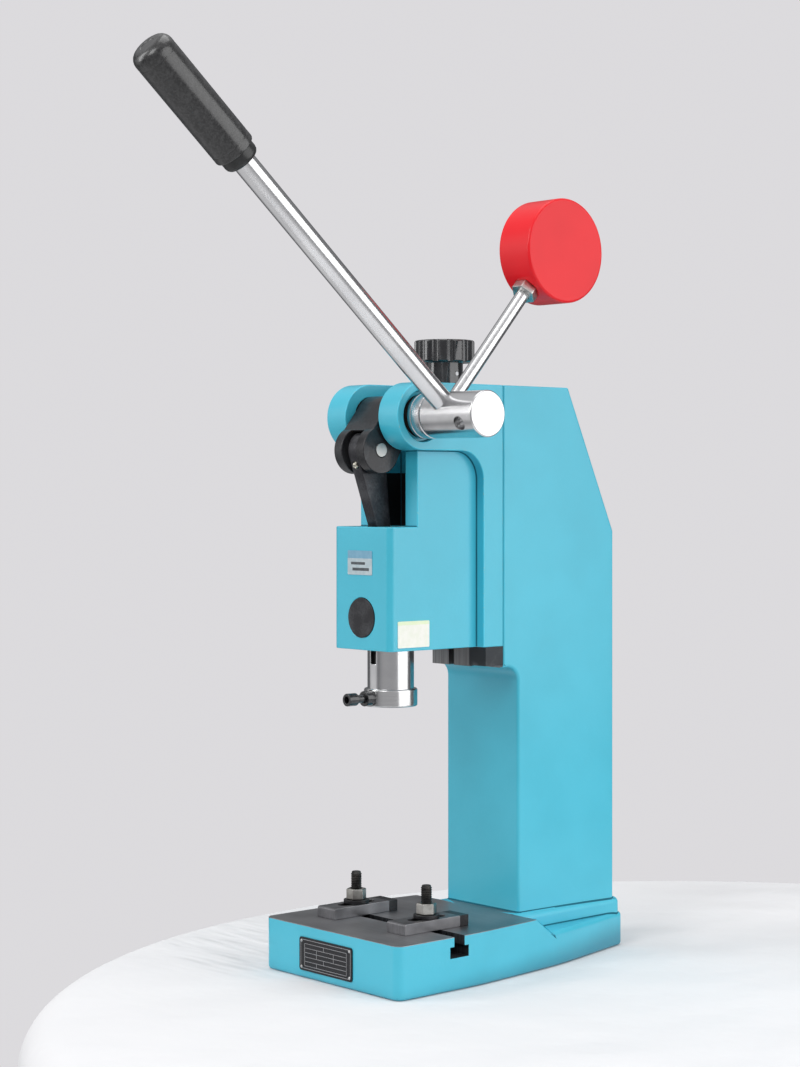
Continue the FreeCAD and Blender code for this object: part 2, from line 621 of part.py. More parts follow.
def make_lock_screws():
    widest = flank(RAIL_FACE + " + rail_depth / 2 - lock_radius")
    length = "%s - %s - lock_gap" % (HALF_COLUMN, widest)
    screws = [screw("lock_screw", "X", spot, "lock_head", "lock_head_height", "lock_radius", length)
              for spot in lock_spots("-%s - lock_head_height" % HALF_COLUMN)]
    node("head_lock_screws", group("head_lock_screws", *screws))


def make_bushes():
    inner = "journal_radius + running_clearance"
    wall = "%s - crank_slot / 2" % HALF_COLUMN
    left = carve("left_bush", rod("left_bush_out", "X", "-" + HALF_COLUMN, SHAFT_Y, SHAFT_Z,
                                  BUSH_RADIUS, wall),
                 rod("left_bush_in", "X", "-" + HALF_COLUMN, SHAFT_Y, SHAFT_Z, inner, wall))
    node("shaft_bush_left", left)
    wall = wall + " - boss_recess_depth"
    right = carve("right_bush", rod("right_bush_out", "X", "crank_slot / 2", SHAFT_Y, SHAFT_Z,
                                    BUSH_RADIUS, wall),
                  rod("right_bush_in", "X", "crank_slot / 2", SHAFT_Y, SHAFT_Z, inner, wall))
    node("shaft_bush_right", right)
    sleeve = rod("thrust_sleeve", "Z", 0, SCREW_Y, CROWN_Z, THRUST_RADIUS, "crown_wall")
    flange = rod("thrust_flange", "Z", 0, SCREW_Y, "column_top - thrust_flange_depth",
                 THRUST_RADIUS + " + thrust_flange", "thrust_flange_depth")
    bore = rod("thrust_in", "Z", 0, SCREW_Y, CROWN_Z, "screw_radius + running_clearance",
               "crown_wall")
    node("thrust_bush", carve("thrust_bush", join("thrust_blank", sleeve, flange), bore))


def make_ram_guide():
    inner_end = "(housing_front + plug_proud - plug_thickness)"
    plug = rod("plug_blank", "Y", 0, "-housing_front - plug_proud", HEAD_BOTTOM + " + plug_rise",
               "plug_radius", "plug_thickness")
    node("guide_plug", plug)
    tip = "(ram_radius - keyway_depth + guide_gap)"
    guide = rod("guide_blank", "Y", 0, "-" + inner_end, GUIDE_Z, "guide_radius",
                "%s - %s" % (inner_end, tip))
    node("ram_guide_pin", guide)


def make_labels():
    front = block("front_label_block", "label_x - label_width / 2", "-housing_front - label_thickness",
                  "%s + label_rise - label_height / 2" % HEAD_BOTTOM, "label_width",
                  "label_thickness", "label_height")
    node("front_label", front)
    side = block("side_label_block", HALF_HOUSING, "side_label_y - side_label_width / 2",
                 "%s + side_label_rise - side_label_height / 2" % HEAD_BOTTOM, "label_thickness",
                 "side_label_width", "side_label_height")
    node("side_label", side)


# The lift knob with its screw.

def make_knob():
    low = "column_top + knob_gap"
    rim_z = "%s + knob_stem_height" % low
    stem = rod("knob_stem", "Z", 0, SCREW_Y, low, "knob_stem_radius", "knob_stem_height")
    rim = rod("knob_rim", "Z", 0, SCREW_Y, rim_z, "knob_radius", "knob_height")
    rim = soften("knob_rim_rounded", rim, "knob_round", lambda e: isinstance(e.Curve, Part.Circle))
    flutes = []
    for n in range(int(size("knob_flutes"))):
        angle = "(%d * 360 / knob_flutes)" % n
        away = "(knob_radius + knob_flute_radius - knob_flute_depth)"
        flutes.append(rod("knob_flute", "Z", "%s * sin(%s)" % (away, angle),
                          "%s + %s * cos(%s)" % (SCREW_Y, away, angle), rim_z, "knob_flute_radius",
                          "knob_height"))
    bore = rod("knob_bore", "Z", 0, SCREW_Y, low, "screw_radius", "screw_seat")
    cross = rod("knob_cross_hole", "X", "-knob_stem_radius", SCREW_Y, low + " + knob_stem_height / 2",
                "knob_pin_radius", "2 * knob_stem_radius")
    blank = join("knob_blank", stem, rim)
    node("adjust_knob", carve("adjust_knob", blank, bore, cross, *flutes))
    shaft = rod("lead_screw_blank", "Z", 0, SCREW_Y, low + " + screw_seat - screw_length",
                "screw_radius", "screw_length")
    node("lead_screw", carve("lead_screw", shaft, cross))
    pin = rod("knob_pin_blank", "X", "-knob_stem_radius", SCREW_Y, low + " + knob_stem_height / 2",
              "knob_pin_radius", "2 * knob_stem_radius")
    node("knob_pin", pin)


# The crankshaft: shaft and hub, crank, lever and balance weight.

def make_main_shaft():
    start = "(hub_start - %s)" % SHAFT_END
    end = "(hub_end - %s)" % SHAFT_END
    blank = turned("shaft_blank", [
        ("0", "0"), ("journal_radius", "0"), ("journal_radius", start),
        ("hub_radius - hub_chamfer", start), ("hub_radius", start + " + hub_chamfer"),
        ("hub_radius", end + " - hub_chamfer"), ("hub_radius - hub_chamfer", end), ("0", end),
    ])
    place(lie(blank, "X"), SHAFT_END, SHAFT_Y, SHAFT_Z)
    lever = rod("lever_hole", "Z", 0, 0, 0, "lever_radius", "hub_radius")
    on_arm(lever, "lever_x", -1, LEVER_LEAN, "lever_seat")
    balance = rod("rod_hole", "Z", 0, 0, 0, "rod_radius", "hub_radius")
    on_arm(balance, "rod_x", 1, ROD_LEAN, "rod_seat")
    spare = rod("spare_hole", "Z", 0, 0, 0, "spare_hole_radius", "hub_radius")
    on_arm(spare, "spare_hole_x", -1, "(180 - spare_hole_angle)", "hub_radius - spare_hole_depth")
    screw_hole = rod("end_screw_hole", "X", SHAFT_END, SHAFT_Y, SHAFT_Z, "end_screw_radius",
                     "end_screw_length - end_cap_thickness")
    node("main_shaft", carve("main_shaft", blank, lever, balance, spare, screw_hole,
                             key_block("key_seat")))
    node("crank_key", key_block("crank_key"))


def key_block(name):
    return block(name, "-key_length / 2", SHAFT_Y + " - key_width / 2",
                 SHAFT_Z + " + journal_radius - key_height / 2", "key_length", "key_width",
                 "key_height")


def make_shaft_trim():
    start = HALF_COLUMN + " + collar_gap"
    length = "hub_start - collar_gap - (%s)" % start
    ring = rod("collar_out", "X", start, SHAFT_Y, SHAFT_Z, "hub_radius", length)
    ring = soften("collar_chamfered", ring, "hub_chamfer",
                  lambda e: isinstance(e.Curve, Part.Circle), chamfer=True)
    hole = rod("collar_in", "X", start, SHAFT_Y, SHAFT_Z, "journal_radius", length)
    node("hub_collar", carve("hub_collar", ring, hole))
    cap_x = SHAFT_END + " - end_cap_thickness"
    cap = rod("end_cap_out", "X", cap_x, SHAFT_Y, SHAFT_Z, "end_cap_radius", "end_cap_thickness")
    cap = soften("end_cap_chamfered", cap, "hub_chamfer",
                 lambda e: isinstance(e.Curve, Part.Circle) and near(e, x=e.BoundBox.XMin)
                 and e.BoundBox.XMin < -size("column_width") / 2 - size("end_gap") - 1,
                 chamfer=True)
    hole = rod("end_cap_in", "X", cap_x, SHAFT_Y, SHAFT_Z, "end_screw_radius", "end_cap_thickness")
    node("end_cap", carve("end_cap", cap, hole))
    spot = (cap_x + " - end_screw_head_height", SHAFT_Y, SHAFT_Z)
    node("end_cap_screw", screw("end_cap_screw", "X", spot, "end_screw_head",
                                "end_screw_head_height", "end_screw_radius", "end_screw_length"))


def fork_cuts():
    """Room between the ears: round the link's eye, below it, and behind it where the link swings."""
    reach = "(2 * ear_radius)"
    low = "-crank_throw - %s" % reach
    eye = rod("fork_eye_room", "X", "-fork_gap / 2", 0, "-crank_throw",
              "link_eye_radius + fork_play", "fork_gap")
    mouth = block("fork_mouth_cut", "-fork_gap / 2", "-" + reach, low, "fork_gap", "2 * " + reach,
                  reach + " + fork_mouth")
    swing = block("fork_swing_cut", "-fork_gap / 2", 0, low, "fork_gap", reach,
                  reach + " + crank_throw")
    return eye, mouth, swing


def make_crank():
    hub = rod("crank_hub", "X", "-crank_width / 2", 0, 0, "crank_hub_radius", "crank_width")
    ears = rod("crank_ears", "X", "-crank_width / 2", 0, "-crank_throw", "ear_radius", "crank_width")
    web = block("crank_web", "-crank_width / 2", "-crank_hub_radius", "-crank_throw",
                "crank_width", "2 * crank_hub_radius", "crank_throw")
    cheeks = carve("crank_cheeks", join("crank_plates", ears, web), *fork_cuts())
    blank = join("crank_blank", hub, cheeks)
    turn(place(blank, 0, SHAFT_Y, SHAFT_Z), (-1, 0, 0), "crank_angle")
    bore = rod("crank_bore", "X", "-crank_width / 2", SHAFT_Y, SHAFT_Z, "journal_radius",
               "crank_width")
    hole = rod("crank_pin_hole", "X", "-crank_width / 2", CRANK_PIN_Y, CRANK_PIN_Z,
               "crank_pin_radius", "crank_width")
    node("crank_arm", carve("crank_arm", blank, bore, hole, key_block("key_slot")))
    pin = rod("crank_pin_blank", "X", "-crank_width / 2 - crank_pin_proud", CRANK_PIN_Y, CRANK_PIN_Z,
              "crank_pin_radius", "crank_width + 2 * crank_pin_proud")
    node("crank_pin", pin)


def make_lever():
    shank = rod("lever_blank", "Z", 0, 0, 0, "lever_radius",
                "grip_start + grip_length - grip_cap - lever_seat")
    node("lever_rod", on_arm(shank, "lever_x", -1, LEVER_LEAN, "lever_seat"))
    grip = turned("grip_body", [
        ("0", "grip_length - grip_cap - ferrule_length"), ("0", "grip_length - ferrule_length"),
        ("grip_radius", "grip_length - ferrule_length"), ("grip_radius", "0"), ("lever_radius", "0"),
        ("lever_radius", "grip_length - grip_cap - ferrule_length"),
    ])
    dress(grip, "grip_tip", "grip_round",
          lambda e: isinstance(e.Curve, Part.Circle) and e.BoundBox.ZMin > 0
          and e.Curve.Radius > size("lever_radius") + 0.1)
    node("lever_grip", on_arm(grip, "lever_x", -1, LEVER_LEAN, "grip_start + ferrule_length"))
    ferrule = turned("ferrule_body", [
        ("lever_radius", "0"), ("grip_neck_radius - hub_chamfer", "0"),
        ("grip_neck_radius", "hub_chamfer"), ("grip_neck_radius", "ferrule_length"),
        ("lever_radius", "ferrule_length"),
    ])
    node("grip_ferrule", on_arm(ferrule, "lever_x", -1, LEVER_LEAN, "grip_start"))


def make_balance():
    seat = "(weight_distance - weight_radius + weight_seat)"
    flat = "(weight_distance - weight_radius + weight_flat)"
    shank = rod("balance_blank", "Z", 0, 0, 0, "rod_radius", seat + " - rod_seat")
    node("balance_rod", on_arm(shank, "rod_x", 1, ROD_LEAN, "rod_seat"))
    disc = rod("weight_disc", "X", "rod_x - weight_width / 2",
               "%s + weight_distance * sin(%s)" % (SHAFT_Y, ROD_LEAN),
               "%s + weight_distance * cos(%s)" % (SHAFT_Z, ROD_LEAN), "weight_radius", "weight_width")
    disc = soften("weight_rounded", disc, "weight_round", lambda e: isinstance(e.Curve, Part.Circle))
    hole = rod("weight_hole", "Z", 0, 0, 0, "rod_radius", seat + " - rod_seat")
    on_arm(hole, "rod_x", 1, ROD_LEAN, "rod_seat")
    face = rod("weight_spot_face", "Z", 0, 0, 0, "jam_nut_across / sqrt(3) + screw_play",
               "jam_nut_height")
    on_arm(face, "rod_x", 1, ROD_LEAN, flat + " - jam_nut_height")
    node("balance_weight", carve("balance_weight", disc, hole, face))
    nut = hexagon("jam_nut_hex", "Z", 0, 0, 0, "jam_nut_across", "jam_nut_height")
    on_arm(nut, "rod_x", 1, ROD_LEAN, flat + " - jam_nut_height")
    bore = rod("jam_nut_bore", "Z", 0, 0, 0, "rod_radius", "jam_nut_height")
    on_arm(bore, "rod_x", 1, ROD_LEAN, flat + " - jam_nut_height")
    node("jam_nut", carve("jam_nut", nut, bore))


# The toggle link, standing on the ram pin and leaning forward.

def make_link():
    eye = rod("link_eye", "X", "-link_width / 2", 0, "link_length", "link_eye_radius", "link_width")
    foot = rod("link_foot", "X", "-link_width / 2", 0, 0, "lower_eye_radius", "link_width")
    bar = body("link_bar")
    shoulder = "link_length - link_taper"
    pad(bar, "link_bar_pad", "YZ_Plane", [
        ("-link_half_depth", "0"), ("link_half_depth", "0"), ("link_half_depth", shoulder),
        ("link_eye_radius", "link_length"), ("-link_eye_radius", "link_length"),
        ("-link_half_depth", shoulder),
    ], "link_width", midplane=True)
    blank = join("link_blank", eye, bar, foot)
    turn(place(blank, 0, 0, RAM_PIN_Z), (1, 0, 0), LINK_LEAN)
    bush_radius = "crank_pin_radius + running_clearance + link_bush_wall"
    upper = rod("link_upper_hole", "X", "-link_width / 2", CRANK_PIN_Y, CRANK_PIN_Z, bush_radius,
                "link_width")
    lower = rod("link_lower_hole", "X", "-link_width / 2", 0, RAM_PIN_Z, "ram_pin_radius",
                "link_width")
    node("toggle_link", carve("toggle_link", blank, upper, lower, oiler_blank("oiler_seat_cut")))
    start, length = "-fork_gap / 2 + link_bush_gap", "fork_gap - 2 * link_bush_gap"
    bush = rod("link_bush_out", "X", start, CRANK_PIN_Y, CRANK_PIN_Z, bush_radius, length)
    hole = rod("link_bush_in", "X", start, CRANK_PIN_Y, CRANK_PIN_Z,
               "crank_pin_radius + running_clearance", length)
    node("link_bush", carve("link_bush", bush, hole))
    node("link_oiler", soften("link_oiler", oiler_blank("oiler_body"), "oiler_round",
                              lambda e: isinstance(e.Curve, Part.Circle)
                              and e.BoundBox.Center.y < oiler_edge()))
    pin = rod("ram_pin_blank", "X", "-ram_pin_length / 2", 0, RAM_PIN_Z, "ram_pin_radius",
              "ram_pin_length")
    node("ram_pin", pin)


def oiler_blank(name):
    """The oiler: it points forwards and down from the crank pin, out of the eye."""
    start = "(link_eye_radius - oiler_seat)"
    oiler = rod(name, "Z", 0, 0, 0, "oiler_radius", "oiler_seat + oiler_height")
    place(oiler, 0, "%s - %s * sin(oiler_angle)" % (CRANK_PIN_Y, start),
          "%s - %s * cos(oiler_angle)" % (CRANK_PIN_Z, start))
    return turn(oiler, (1, 0, 0), "180 - oiler_angle")


def oiler_edge():
    """A Y that lies between the oiler's inner and outer rims."""
    throw = size("shaft_forward") + size("crank_throw") * math.sin(math.radians(size("crank_angle")))
    return -throw - size("link_eye_radius") * math.sin(math.radians(size("oiler_angle")))


# The ram with its nose.

def make_ram():
    bar = rod("ram_bar", "Z", 0, 0, NOSE_Z, "ram_radius", "pin_to_nose + ram_crown")
    slot = block("ram_fork", "-link_width / 2 - fork_clearance", "-2 * ram_radius",
                 RAM_PIN_Z + " - fork_floor", "link_width + 2 * fork_clearance",
                 "4 * ram_radius", "fork_floor + ram_crown")
    window = block("pin_window", "-2 * ram_radius", "-ram_pin_radius - pin_slack",
                   RAM_PIN_Z + " - ram_pin_radius - pin_slack", "4 * ram_radius",
                   "2 * ram_pin_radius + pin_slack + pin_slack_rear",
                   "2 * ram_pin_radius + pin_slack + pin_slack_up")
    keyway = block("ram_keyway", "-keyway_width / 2", "-2 * ram_radius", NOSE_Z + " + keyway_start",
                   "keyway_width", "ram_radius + keyway_depth",
                   "pin_to_nose - fork_floor - keyway_start")
    bore = rod("tool_bore", "Z", 0, 0, NOSE_Z, "tool_bore_radius", "tool_bore_depth")
    node("ram", carve("ram", bar, slot, window, keyway, bore, tool_screw_hole("ram_screw_hole")))


def tool_screw_hole(name):
    return rod(name, "Y", 0, "-nose_radius", NOSE_MIDDLE, "tool_screw_radius", "nose_radius")


def make_nose():
    ring = rod("nose_ring", "Z", 0, 0, NOSE_Z, "nose_radius", "nose_height")
    ring = soften("nose_chamfered", ring, "nose_chamfer",
                  lambda e: isinstance(e.Curve, Part.Circle), chamfer=True)
    hole = rod("nose_hole", "Z", 0, 0, NOSE_Z, "ram_radius", "nose_height")
    seat = rod("nose_nut_seat", "Y", 0, "-2 * nose_radius", NOSE_MIDDLE,
               "tool_nut_radius + screw_play", "nose_radius + tool_nut_seat")
    node("nose_collar", carve("nose_collar", ring, hole, seat, tool_screw_hole("nose_screw_hole")))
    under = "(tool_screw_reach + tool_screw_head_length)"
    bolt = screw("tool_screw", "Y", (0, "-" + under, NOSE_MIDDLE), "tool_screw_head",
                 "tool_screw_head_length", "tool_screw_radius",
                 "tool_screw_reach - tool_bore_radius - tool_screw_tip")
    node("tool_clamp_screw", bolt)
    nut = rod("clamp_nut_out", "Y", 0, "-nose_radius + tool_nut_seat - tool_nut_length", NOSE_MIDDLE,
              "tool_nut_radius", "tool_nut_length")
    hole = rod("clamp_nut_in", "Y", 0, "-nose_radius + tool_nut_seat - tool_nut_length",
               NOSE_MIDDLE, "tool_screw_radius", "tool_nut_length")
    node("clamp_lock_nut", carve("clamp_lock_nut", nut, hole))


# The two work clamps in the T-slot.

def make_clamp(side, sign):
    middle = sign + "clamp_x"
    stud = rod(side + "_stud", "Z", middle, 0, CLAMP_FLOOR, "stud_radius", "stud_top - " + CLAMP_FLOOR)
    head = block(side + "_bolt_head", middle + " - bolt_head_width / 2", "-bolt_head_width / 2",
                 CLAMP_FLOOR + " - bolt_head_height", "bolt_head_width", "bolt_head_width",
                 "bolt_head_height")
    node(side + "_t_bolt", join(side + "_t_bolt", stud, head))
    strap = block(side + "_strap_block", middle + " - strap_width / 2", "-strap_front", "base_height",
                  "strap_width", "strap_front + strap_rear", "strap_thickness")
    strap = soften(side + "_strap_nosed", strap, "strap_nose",
                   lambda e: runs_along(e, "X") and near(e, y=-size("strap_front"))
                   and e.BoundBox.ZMin > size("base_height") + 1, chamfer=True)
    width = "(stud_radius + stud_clearance)"
    slot = block(side + "_strap_slot", "%s - %s" % (middle, width), "-strap_slot_length / 2",
                 "base_height", "2 * " + width, "strap_slot_length", "strap_thickness")
    ends = [rod(side + "_strap_slot_end", "Z", middle, end + "strap_slot_length / 2", "base_height",
                width, "strap_thickness") for end in ("-", "")]
    pin_hole = rod(side + "_heel_hole", "Y", middle, "strap_rear - heel_pin_grip",
                   "base_height + strap_thickness / 2", "heel_pin_radius",
                   "heel_pin_grip + heel_length")
    node(side + "_strap", carve(side + "_strap", strap, slot, *ends, pin_hole))
    heel = block(side + "_heel_block", middle + " - strap_width / 2", "strap_rear", "base_height",
                 "strap_width", "heel_length", "heel_height")
    node(side + "_heel", carve(side + "_heel", heel, pin_hole))
    pin = rod(side + "_heel_pin_blank", "Y", middle, "strap_rear - heel_pin_grip",
              "base_height + strap_thickness / 2", "heel_pin_radius", "heel_pin_grip + heel_length")
    node(side + "_heel_pin", pin)
    ring = rod(side + "_washer_out", "Z", middle, 0, WASHER_Z, "washer_radius", "washer_thickness")
    hole = rod(side + "_washer_in", "Z", middle, 0, WASHER_Z, "stud_radius", "washer_thickness")
    node(side + "_washer", carve(side + "_washer", ring, hole))
    nut = hexagon(side + "_nut_hex", "Z", middle, 0, NUT_Z, "clamp_nut_across", "clamp_nut_height")
    hole = rod(side + "_nut_in", "Z", middle, 0, NUT_Z, "stud_radius", "clamp_nut_height")
    node(side + "_nut", carve(side + "_nut", nut, hole))


for make in (make_base_column, make_slide_rail, make_lift_nut, make_nameplate, make_head_casting,
             make_gib, make_lock_screws, make_bushes, make_ram_guide, make_labels, make_knob,
             make_main_shaft, make_shaft_trim, make_crank, make_lever, make_balance, make_link,
             make_ram, make_nose):
    make()
make_clamp("left", "-")
make_clamp("right", "")
doc.recompute()


# Checks, then one STEP file for each node.

faults = [o.Name for o in doc.Objects if "Invalid" in o.State or "Error" in o.State]
if faults:
    raise SystemExit("failed objects: " + ", ".join(faults))
for name, obj in NODES.items():
    if obj.Shape.isNull() or not obj.Shape.isValid() or not obj.Shape.Solids:
        raise SystemExit("bad shape: " + name)
os.makedirs("parts", exist_ok=True)
for name, obj in NODES.items():
    obj.Shape.exportStep("parts/%s.step" % name)
    print("%-20s %2d solids %12.1f mm3" % (name, len(obj.Shape.Solids), obj.Shape.Volume))
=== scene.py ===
import math

import bmesh
import bpy
from mathutils import Matrix, Vector


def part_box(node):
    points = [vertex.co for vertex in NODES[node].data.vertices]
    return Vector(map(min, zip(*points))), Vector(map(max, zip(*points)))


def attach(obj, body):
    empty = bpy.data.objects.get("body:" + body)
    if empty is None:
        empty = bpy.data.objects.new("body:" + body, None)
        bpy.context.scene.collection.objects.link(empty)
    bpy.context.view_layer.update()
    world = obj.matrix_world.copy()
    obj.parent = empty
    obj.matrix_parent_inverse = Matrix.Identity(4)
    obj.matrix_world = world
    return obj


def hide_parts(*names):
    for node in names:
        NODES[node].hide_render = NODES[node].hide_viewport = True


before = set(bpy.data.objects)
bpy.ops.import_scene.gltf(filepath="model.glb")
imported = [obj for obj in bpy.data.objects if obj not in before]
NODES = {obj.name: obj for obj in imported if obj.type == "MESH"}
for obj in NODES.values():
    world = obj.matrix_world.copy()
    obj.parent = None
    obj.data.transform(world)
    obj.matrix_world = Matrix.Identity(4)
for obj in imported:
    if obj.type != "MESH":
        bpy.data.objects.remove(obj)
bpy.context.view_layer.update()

# The dressed toggle press. Its ram runs down the Z axis, the operator stands at -Y and the lever
# is on the +X side. Lengths are in metres; MM turns a size in millimetres into one.

MM = 0.001
FAR = 1000.0                # further out than any point of the press, in millimetres
SHARP = math.radians(35)    # edges that bend more than this are rounded or left sharp
FLAT = math.radians(0.8)    # faces that bend less than this are one face
WELD = 2e-6                 # corners nearer than this are one corner
TINY = 1e-6                 # edges shorter than this are left out
LEVEL = 1e-5                # ends of an edge that differ less than this are level


# Shader maths.

class Wire:
    """A socket of a material's node tree, with sums and products written as Python."""

    def __init__(self, tree, socket=None):
        self.tree = tree
        self.socket = socket

    def add(self, kind, settings, sockets, out=0):
        """Add any node: its settings first, then the values or links of its sockets."""
        made = self.tree.nodes.new("ShaderNode" + kind)
        for word, setting in settings.items():
            setattr(made, word, setting)
        for key, value in sockets.items():
            if isinstance(value, Wire):
                self.tree.links.new(value.socket, made.inputs[key])
            else:
                made.inputs[key].default_value = value
        return Wire(self.tree, made.outputs[out]) if made.outputs else None

    def math(self, how, *values):
        return self.add("Math", {"operation": how}, dict(enumerate(values)))

    def __add__(self, other):
        return self.math("ADD", self, other)

    def __sub__(self, other):
        return self.math("SUBTRACT", self, other)

    def __mul__(self, other):
        return self.math("MULTIPLY", self, other)

    __radd__ = __add__
    __rmul__ = __mul__

    def rise(self, low, high):
        """Go smoothly from 0 to 1 while this value goes from low to high."""
        return self.add("MapRange", {"interpolation_type": "SMOOTHSTEP"},
                        {"Value": self, "From Min": low, "From Max": high})

    def blend(self, first, second):
        """The first colour where this value is 0 and the second where it is 1."""
        return self.add("Mix", {"data_type": "RGBA"}, {0: self, 6: first, 7: second}, 2)

    def about(self, centre=(0, 0, 0), turned=(0, 0, 0), stretch=(1, 1, 1)):
        """These coordinates counted from a centre, then turned (degrees) and stretched."""
        moved = self.add("VectorMath", {"operation": "SUBTRACT"}, {0: self, 1: centre})
        return self.add("Mapping", {"vector_type": "POINT"}, {
            "Vector": moved, "Rotation": [math.radians(a) for a in turned], "Scale": stretch})

    def noise(self, scale, detail=3.0, rough=0.5):
        return self.add("TexNoise", {}, {"Vector": self, "Scale": scale, "Detail": detail,
                                         "Roughness": rough})

    def parts(self):
        """The X, Y and Z of a vector."""
        split = self.add("SeparateXYZ", {}, {0: self}).socket.node
        return [Wire(self.tree, split.outputs[k]) for k in range(3)]

    def facing(self, side):
        """How nearly this direction is the one called side: 1 along it, 0 square to it."""
        return self.add("VectorMath", {"operation": "DOT_PRODUCT"}, {0: self, 1: side}, "Value")

    def bump(self, depth):
        """A normal from this height, where 1 stands depth metres proud of 0."""
        return self.add("Bump", {}, {"Height": self, "Distance": depth, "Strength": 1.0})


def begin(name):
    """A new material, and a wire on its Object coordinates."""
    made = bpy.data.materials.new(name)
    made.use_nodes = True
    made.node_tree.nodes.clear()
    return made, Wire(made.node_tree).add("TexCoord", {}, {}, "Object")


def end(made, place, **sockets):
    """Close a material with one Principled shader; an underscore stands for a space."""
    shader = place.add("BsdfPrincipled", {}, {k.replace("_", " "): v for k, v in sockets.items()})
    place.add("OutputMaterial", {}, {"Surface": shader})
    return made


def tone(red, green, blue):
    return (red, green, blue, 1.0)


def grained(made, place, grain, low, high, rough, spread, depth=None, metal=1.0):
    """Close a metal's material whose tone and roughness follow one grain, also as a bump."""
    normal = {} if depth is None else {"Normal": grain.bump(depth)}
    return end(made, place, Base_Color=grain.rise(0.3, 0.7).blend(tone(*low), tone(*high)),
               Metallic=metal, Roughness=grain * spread + rough, **normal)


# Finishes.

def enamel_on(name, light, wear):
    """The turquoise enamel: orange peel over an uneven casting, with painted shade darkening its
    foot.
    """
    made, place = begin(name)
    cloud = place.noise(14.0, 4.0)
    peel = place.noise(420.0, 2.0)
    sand = place.noise(60.0, 3.0)
    speck = (place.noise(900.0, 2.0) + place.noise(90.0) * 0.6).rise(wear, wear + 0.05)
    flat = cloud.rise(0.3, 0.7).blend(tone(0.046 * light, 0.455 * light, 0.60 * light),
                                      tone(0.056 * light, 0.495 * light, 0.65 * light))
    worn = speck.blend(flat, tone(0.16, 0.52, 0.60))
    _, y, z = place.parts()
    # Painted shade: the enamel darkens towards the floor, and reaches higher towards the rear.
    above_foot_shade = (z + cloud * 0.006 + y * -0.06).rise(-0.006, 0.016)
    colour = above_foot_shade.blend(tone(0.018, 0.24, 0.34), worn)
    height = peel * 0.3 + sand * 0.5 + cloud * 0.8
    return end(made, place, Base_Color=colour, Roughness=0.30 + cloud * 0.12,
               Coat_Weight=0.35, Coat_Roughness=0.22, Normal=height.bump(0.00022))


def casting_enamel():
    return enamel_on("casting_enamel", 1.0, 1.2)


# Rounded outer edges: the enamel is painted lighter as a painted highlight, and worn more often.
def casting_edge_wear_and_highlight():
    return enamel_on("casting_edge_wear_and_highlight", 1.12, 0.92)


def casting_corner_shade():
    """The same paint darkened in an inner corner, as painted shade."""
    made, place = begin("casting_corner_shade")
    cloud = place.noise(30.0, 3.0)
    colour = cloud.rise(0.3, 0.7).blend(tone(0.004, 0.10, 0.15), tone(0.007, 0.14, 0.20))
    return end(made, place, Base_Color=colour, Roughness=0.55 + cloud * 0.15,
               Specular_IOR_Level=0.25, Normal=place.noise(420.0).bump(0.0001))


def slot_painted_shadow():
    """The crank slot's lower walls, painted near black as the slot's shadow."""
    made, place = begin("slot_painted_shadow")
    cloud = place.noise(45.0, 4.0)
    colour = cloud.rise(0.3, 0.7).blend(tone(0.0015, 0.002, 0.0025), tone(0.004, 0.005, 0.006))
    return end(made, place, Base_Color=colour, Roughness=0.55 + cloud * 0.3,
               Normal=place.noise(300.0).bump(0.0003))


def table_ground():
    """The ground top of the table: fine lines along X, with soft stains and handling marks."""
    made, place = begin("table_ground")
    lines = place.about(stretch=(12, 900, 12)).noise(1.0, 4.0, 0.6)
    cloud = place.noise(22.0, 4.0)
    marks = place.about(turned=(0, 0, 31), stretch=(40, 700, 40)).noise(1.0, 2.0)
    colour = (lines * 0.35 + cloud * 0.65).rise(0.3, 0.7).blend(
        tone(0.23, 0.23, 0.24), tone(0.35, 0.35, 0.36))
    rough = 0.34 + cloud * 0.16 - marks.rise(0.66, 0.74) * 0.10
    return end(made, place, Base_Color=colour, Metallic=1.0, Roughness=rough,
               Normal=(lines + marks * 0.4).bump(0.00004))


def slot_milled():
    """The milled walls of the T-slot, dull and near black."""
    made, place = begin("slot_milled")
    lines = place.about(stretch=(500, 30, 30)).noise(1.0, 3.0)
    return grained(made, place, lines, (0.02, 0.022, 0.026), (0.055, 0.06, 0.068),
                   rough=0.45, spread=0.2, depth=0.00008, metal=0.7)


def slide_scraped():
    """The scraped slideway on the column: small soft patches under a film of oil."""
    made, place = begin("slide_scraped")
    patch = place.add("TexVoronoi", {"feature": "SMOOTH_F1"}, {"Vector": place, "Scale": 300.0})
    fine = place.noise(700.0)
    colour = patch.rise(0.2, 0.7).blend(tone(0.24, 0.245, 0.25), tone(0.31, 0.315, 0.32))
    return end(made, place, Base_Color=colour, Metallic=1.0, Roughness=0.32 + patch * 0.12,
               Normal=(patch * 0.5 + fine * 0.2).bump(0.00003))


def rail_ground():
    """The dovetail rail: ground along its length and grey with way oil."""
    made, place = begin("rail_ground")
    lines = place.about(stretch=(900, 900, 12)).noise(1.0, 3.0)
    return grained(made, place, lines, (0.13, 0.132, 0.136), (0.23, 0.232, 0.236),
                   rough=0.34, spread=0.15, depth=0.00003)


def lift_nut_milled():
    made, place = begin("lift_nut_milled")
    lines = place.about(turned=(0, 20, 0), stretch=(600, 40, 40)).noise(1.0, 3.0)
    return grained(made, place, lines, (0.38, 0.39, 0.40), (0.52, 0.53, 0.54),
                   rough=0.3, spread=0.2, depth=0.00004)


def gib_blacked():
    """The gib and its foot: milled steel under a worn dark oxide."""
    made, place = begin("gib_blacked")
    lines = place.about(stretch=(60, 60, 900)).noise(1.0, 3.0)
    worn = place.noise(60.0, 4.0).rise(0.5, 0.75)
    colour = worn.blend(tone(0.045, 0.05, 0.055), tone(0.16, 0.165, 0.17))
    return end(made, place, Base_Color=colour, Metallic=0.75, Roughness=0.36 + lines * 0.2,
               Normal=lines.bump(0.00004))


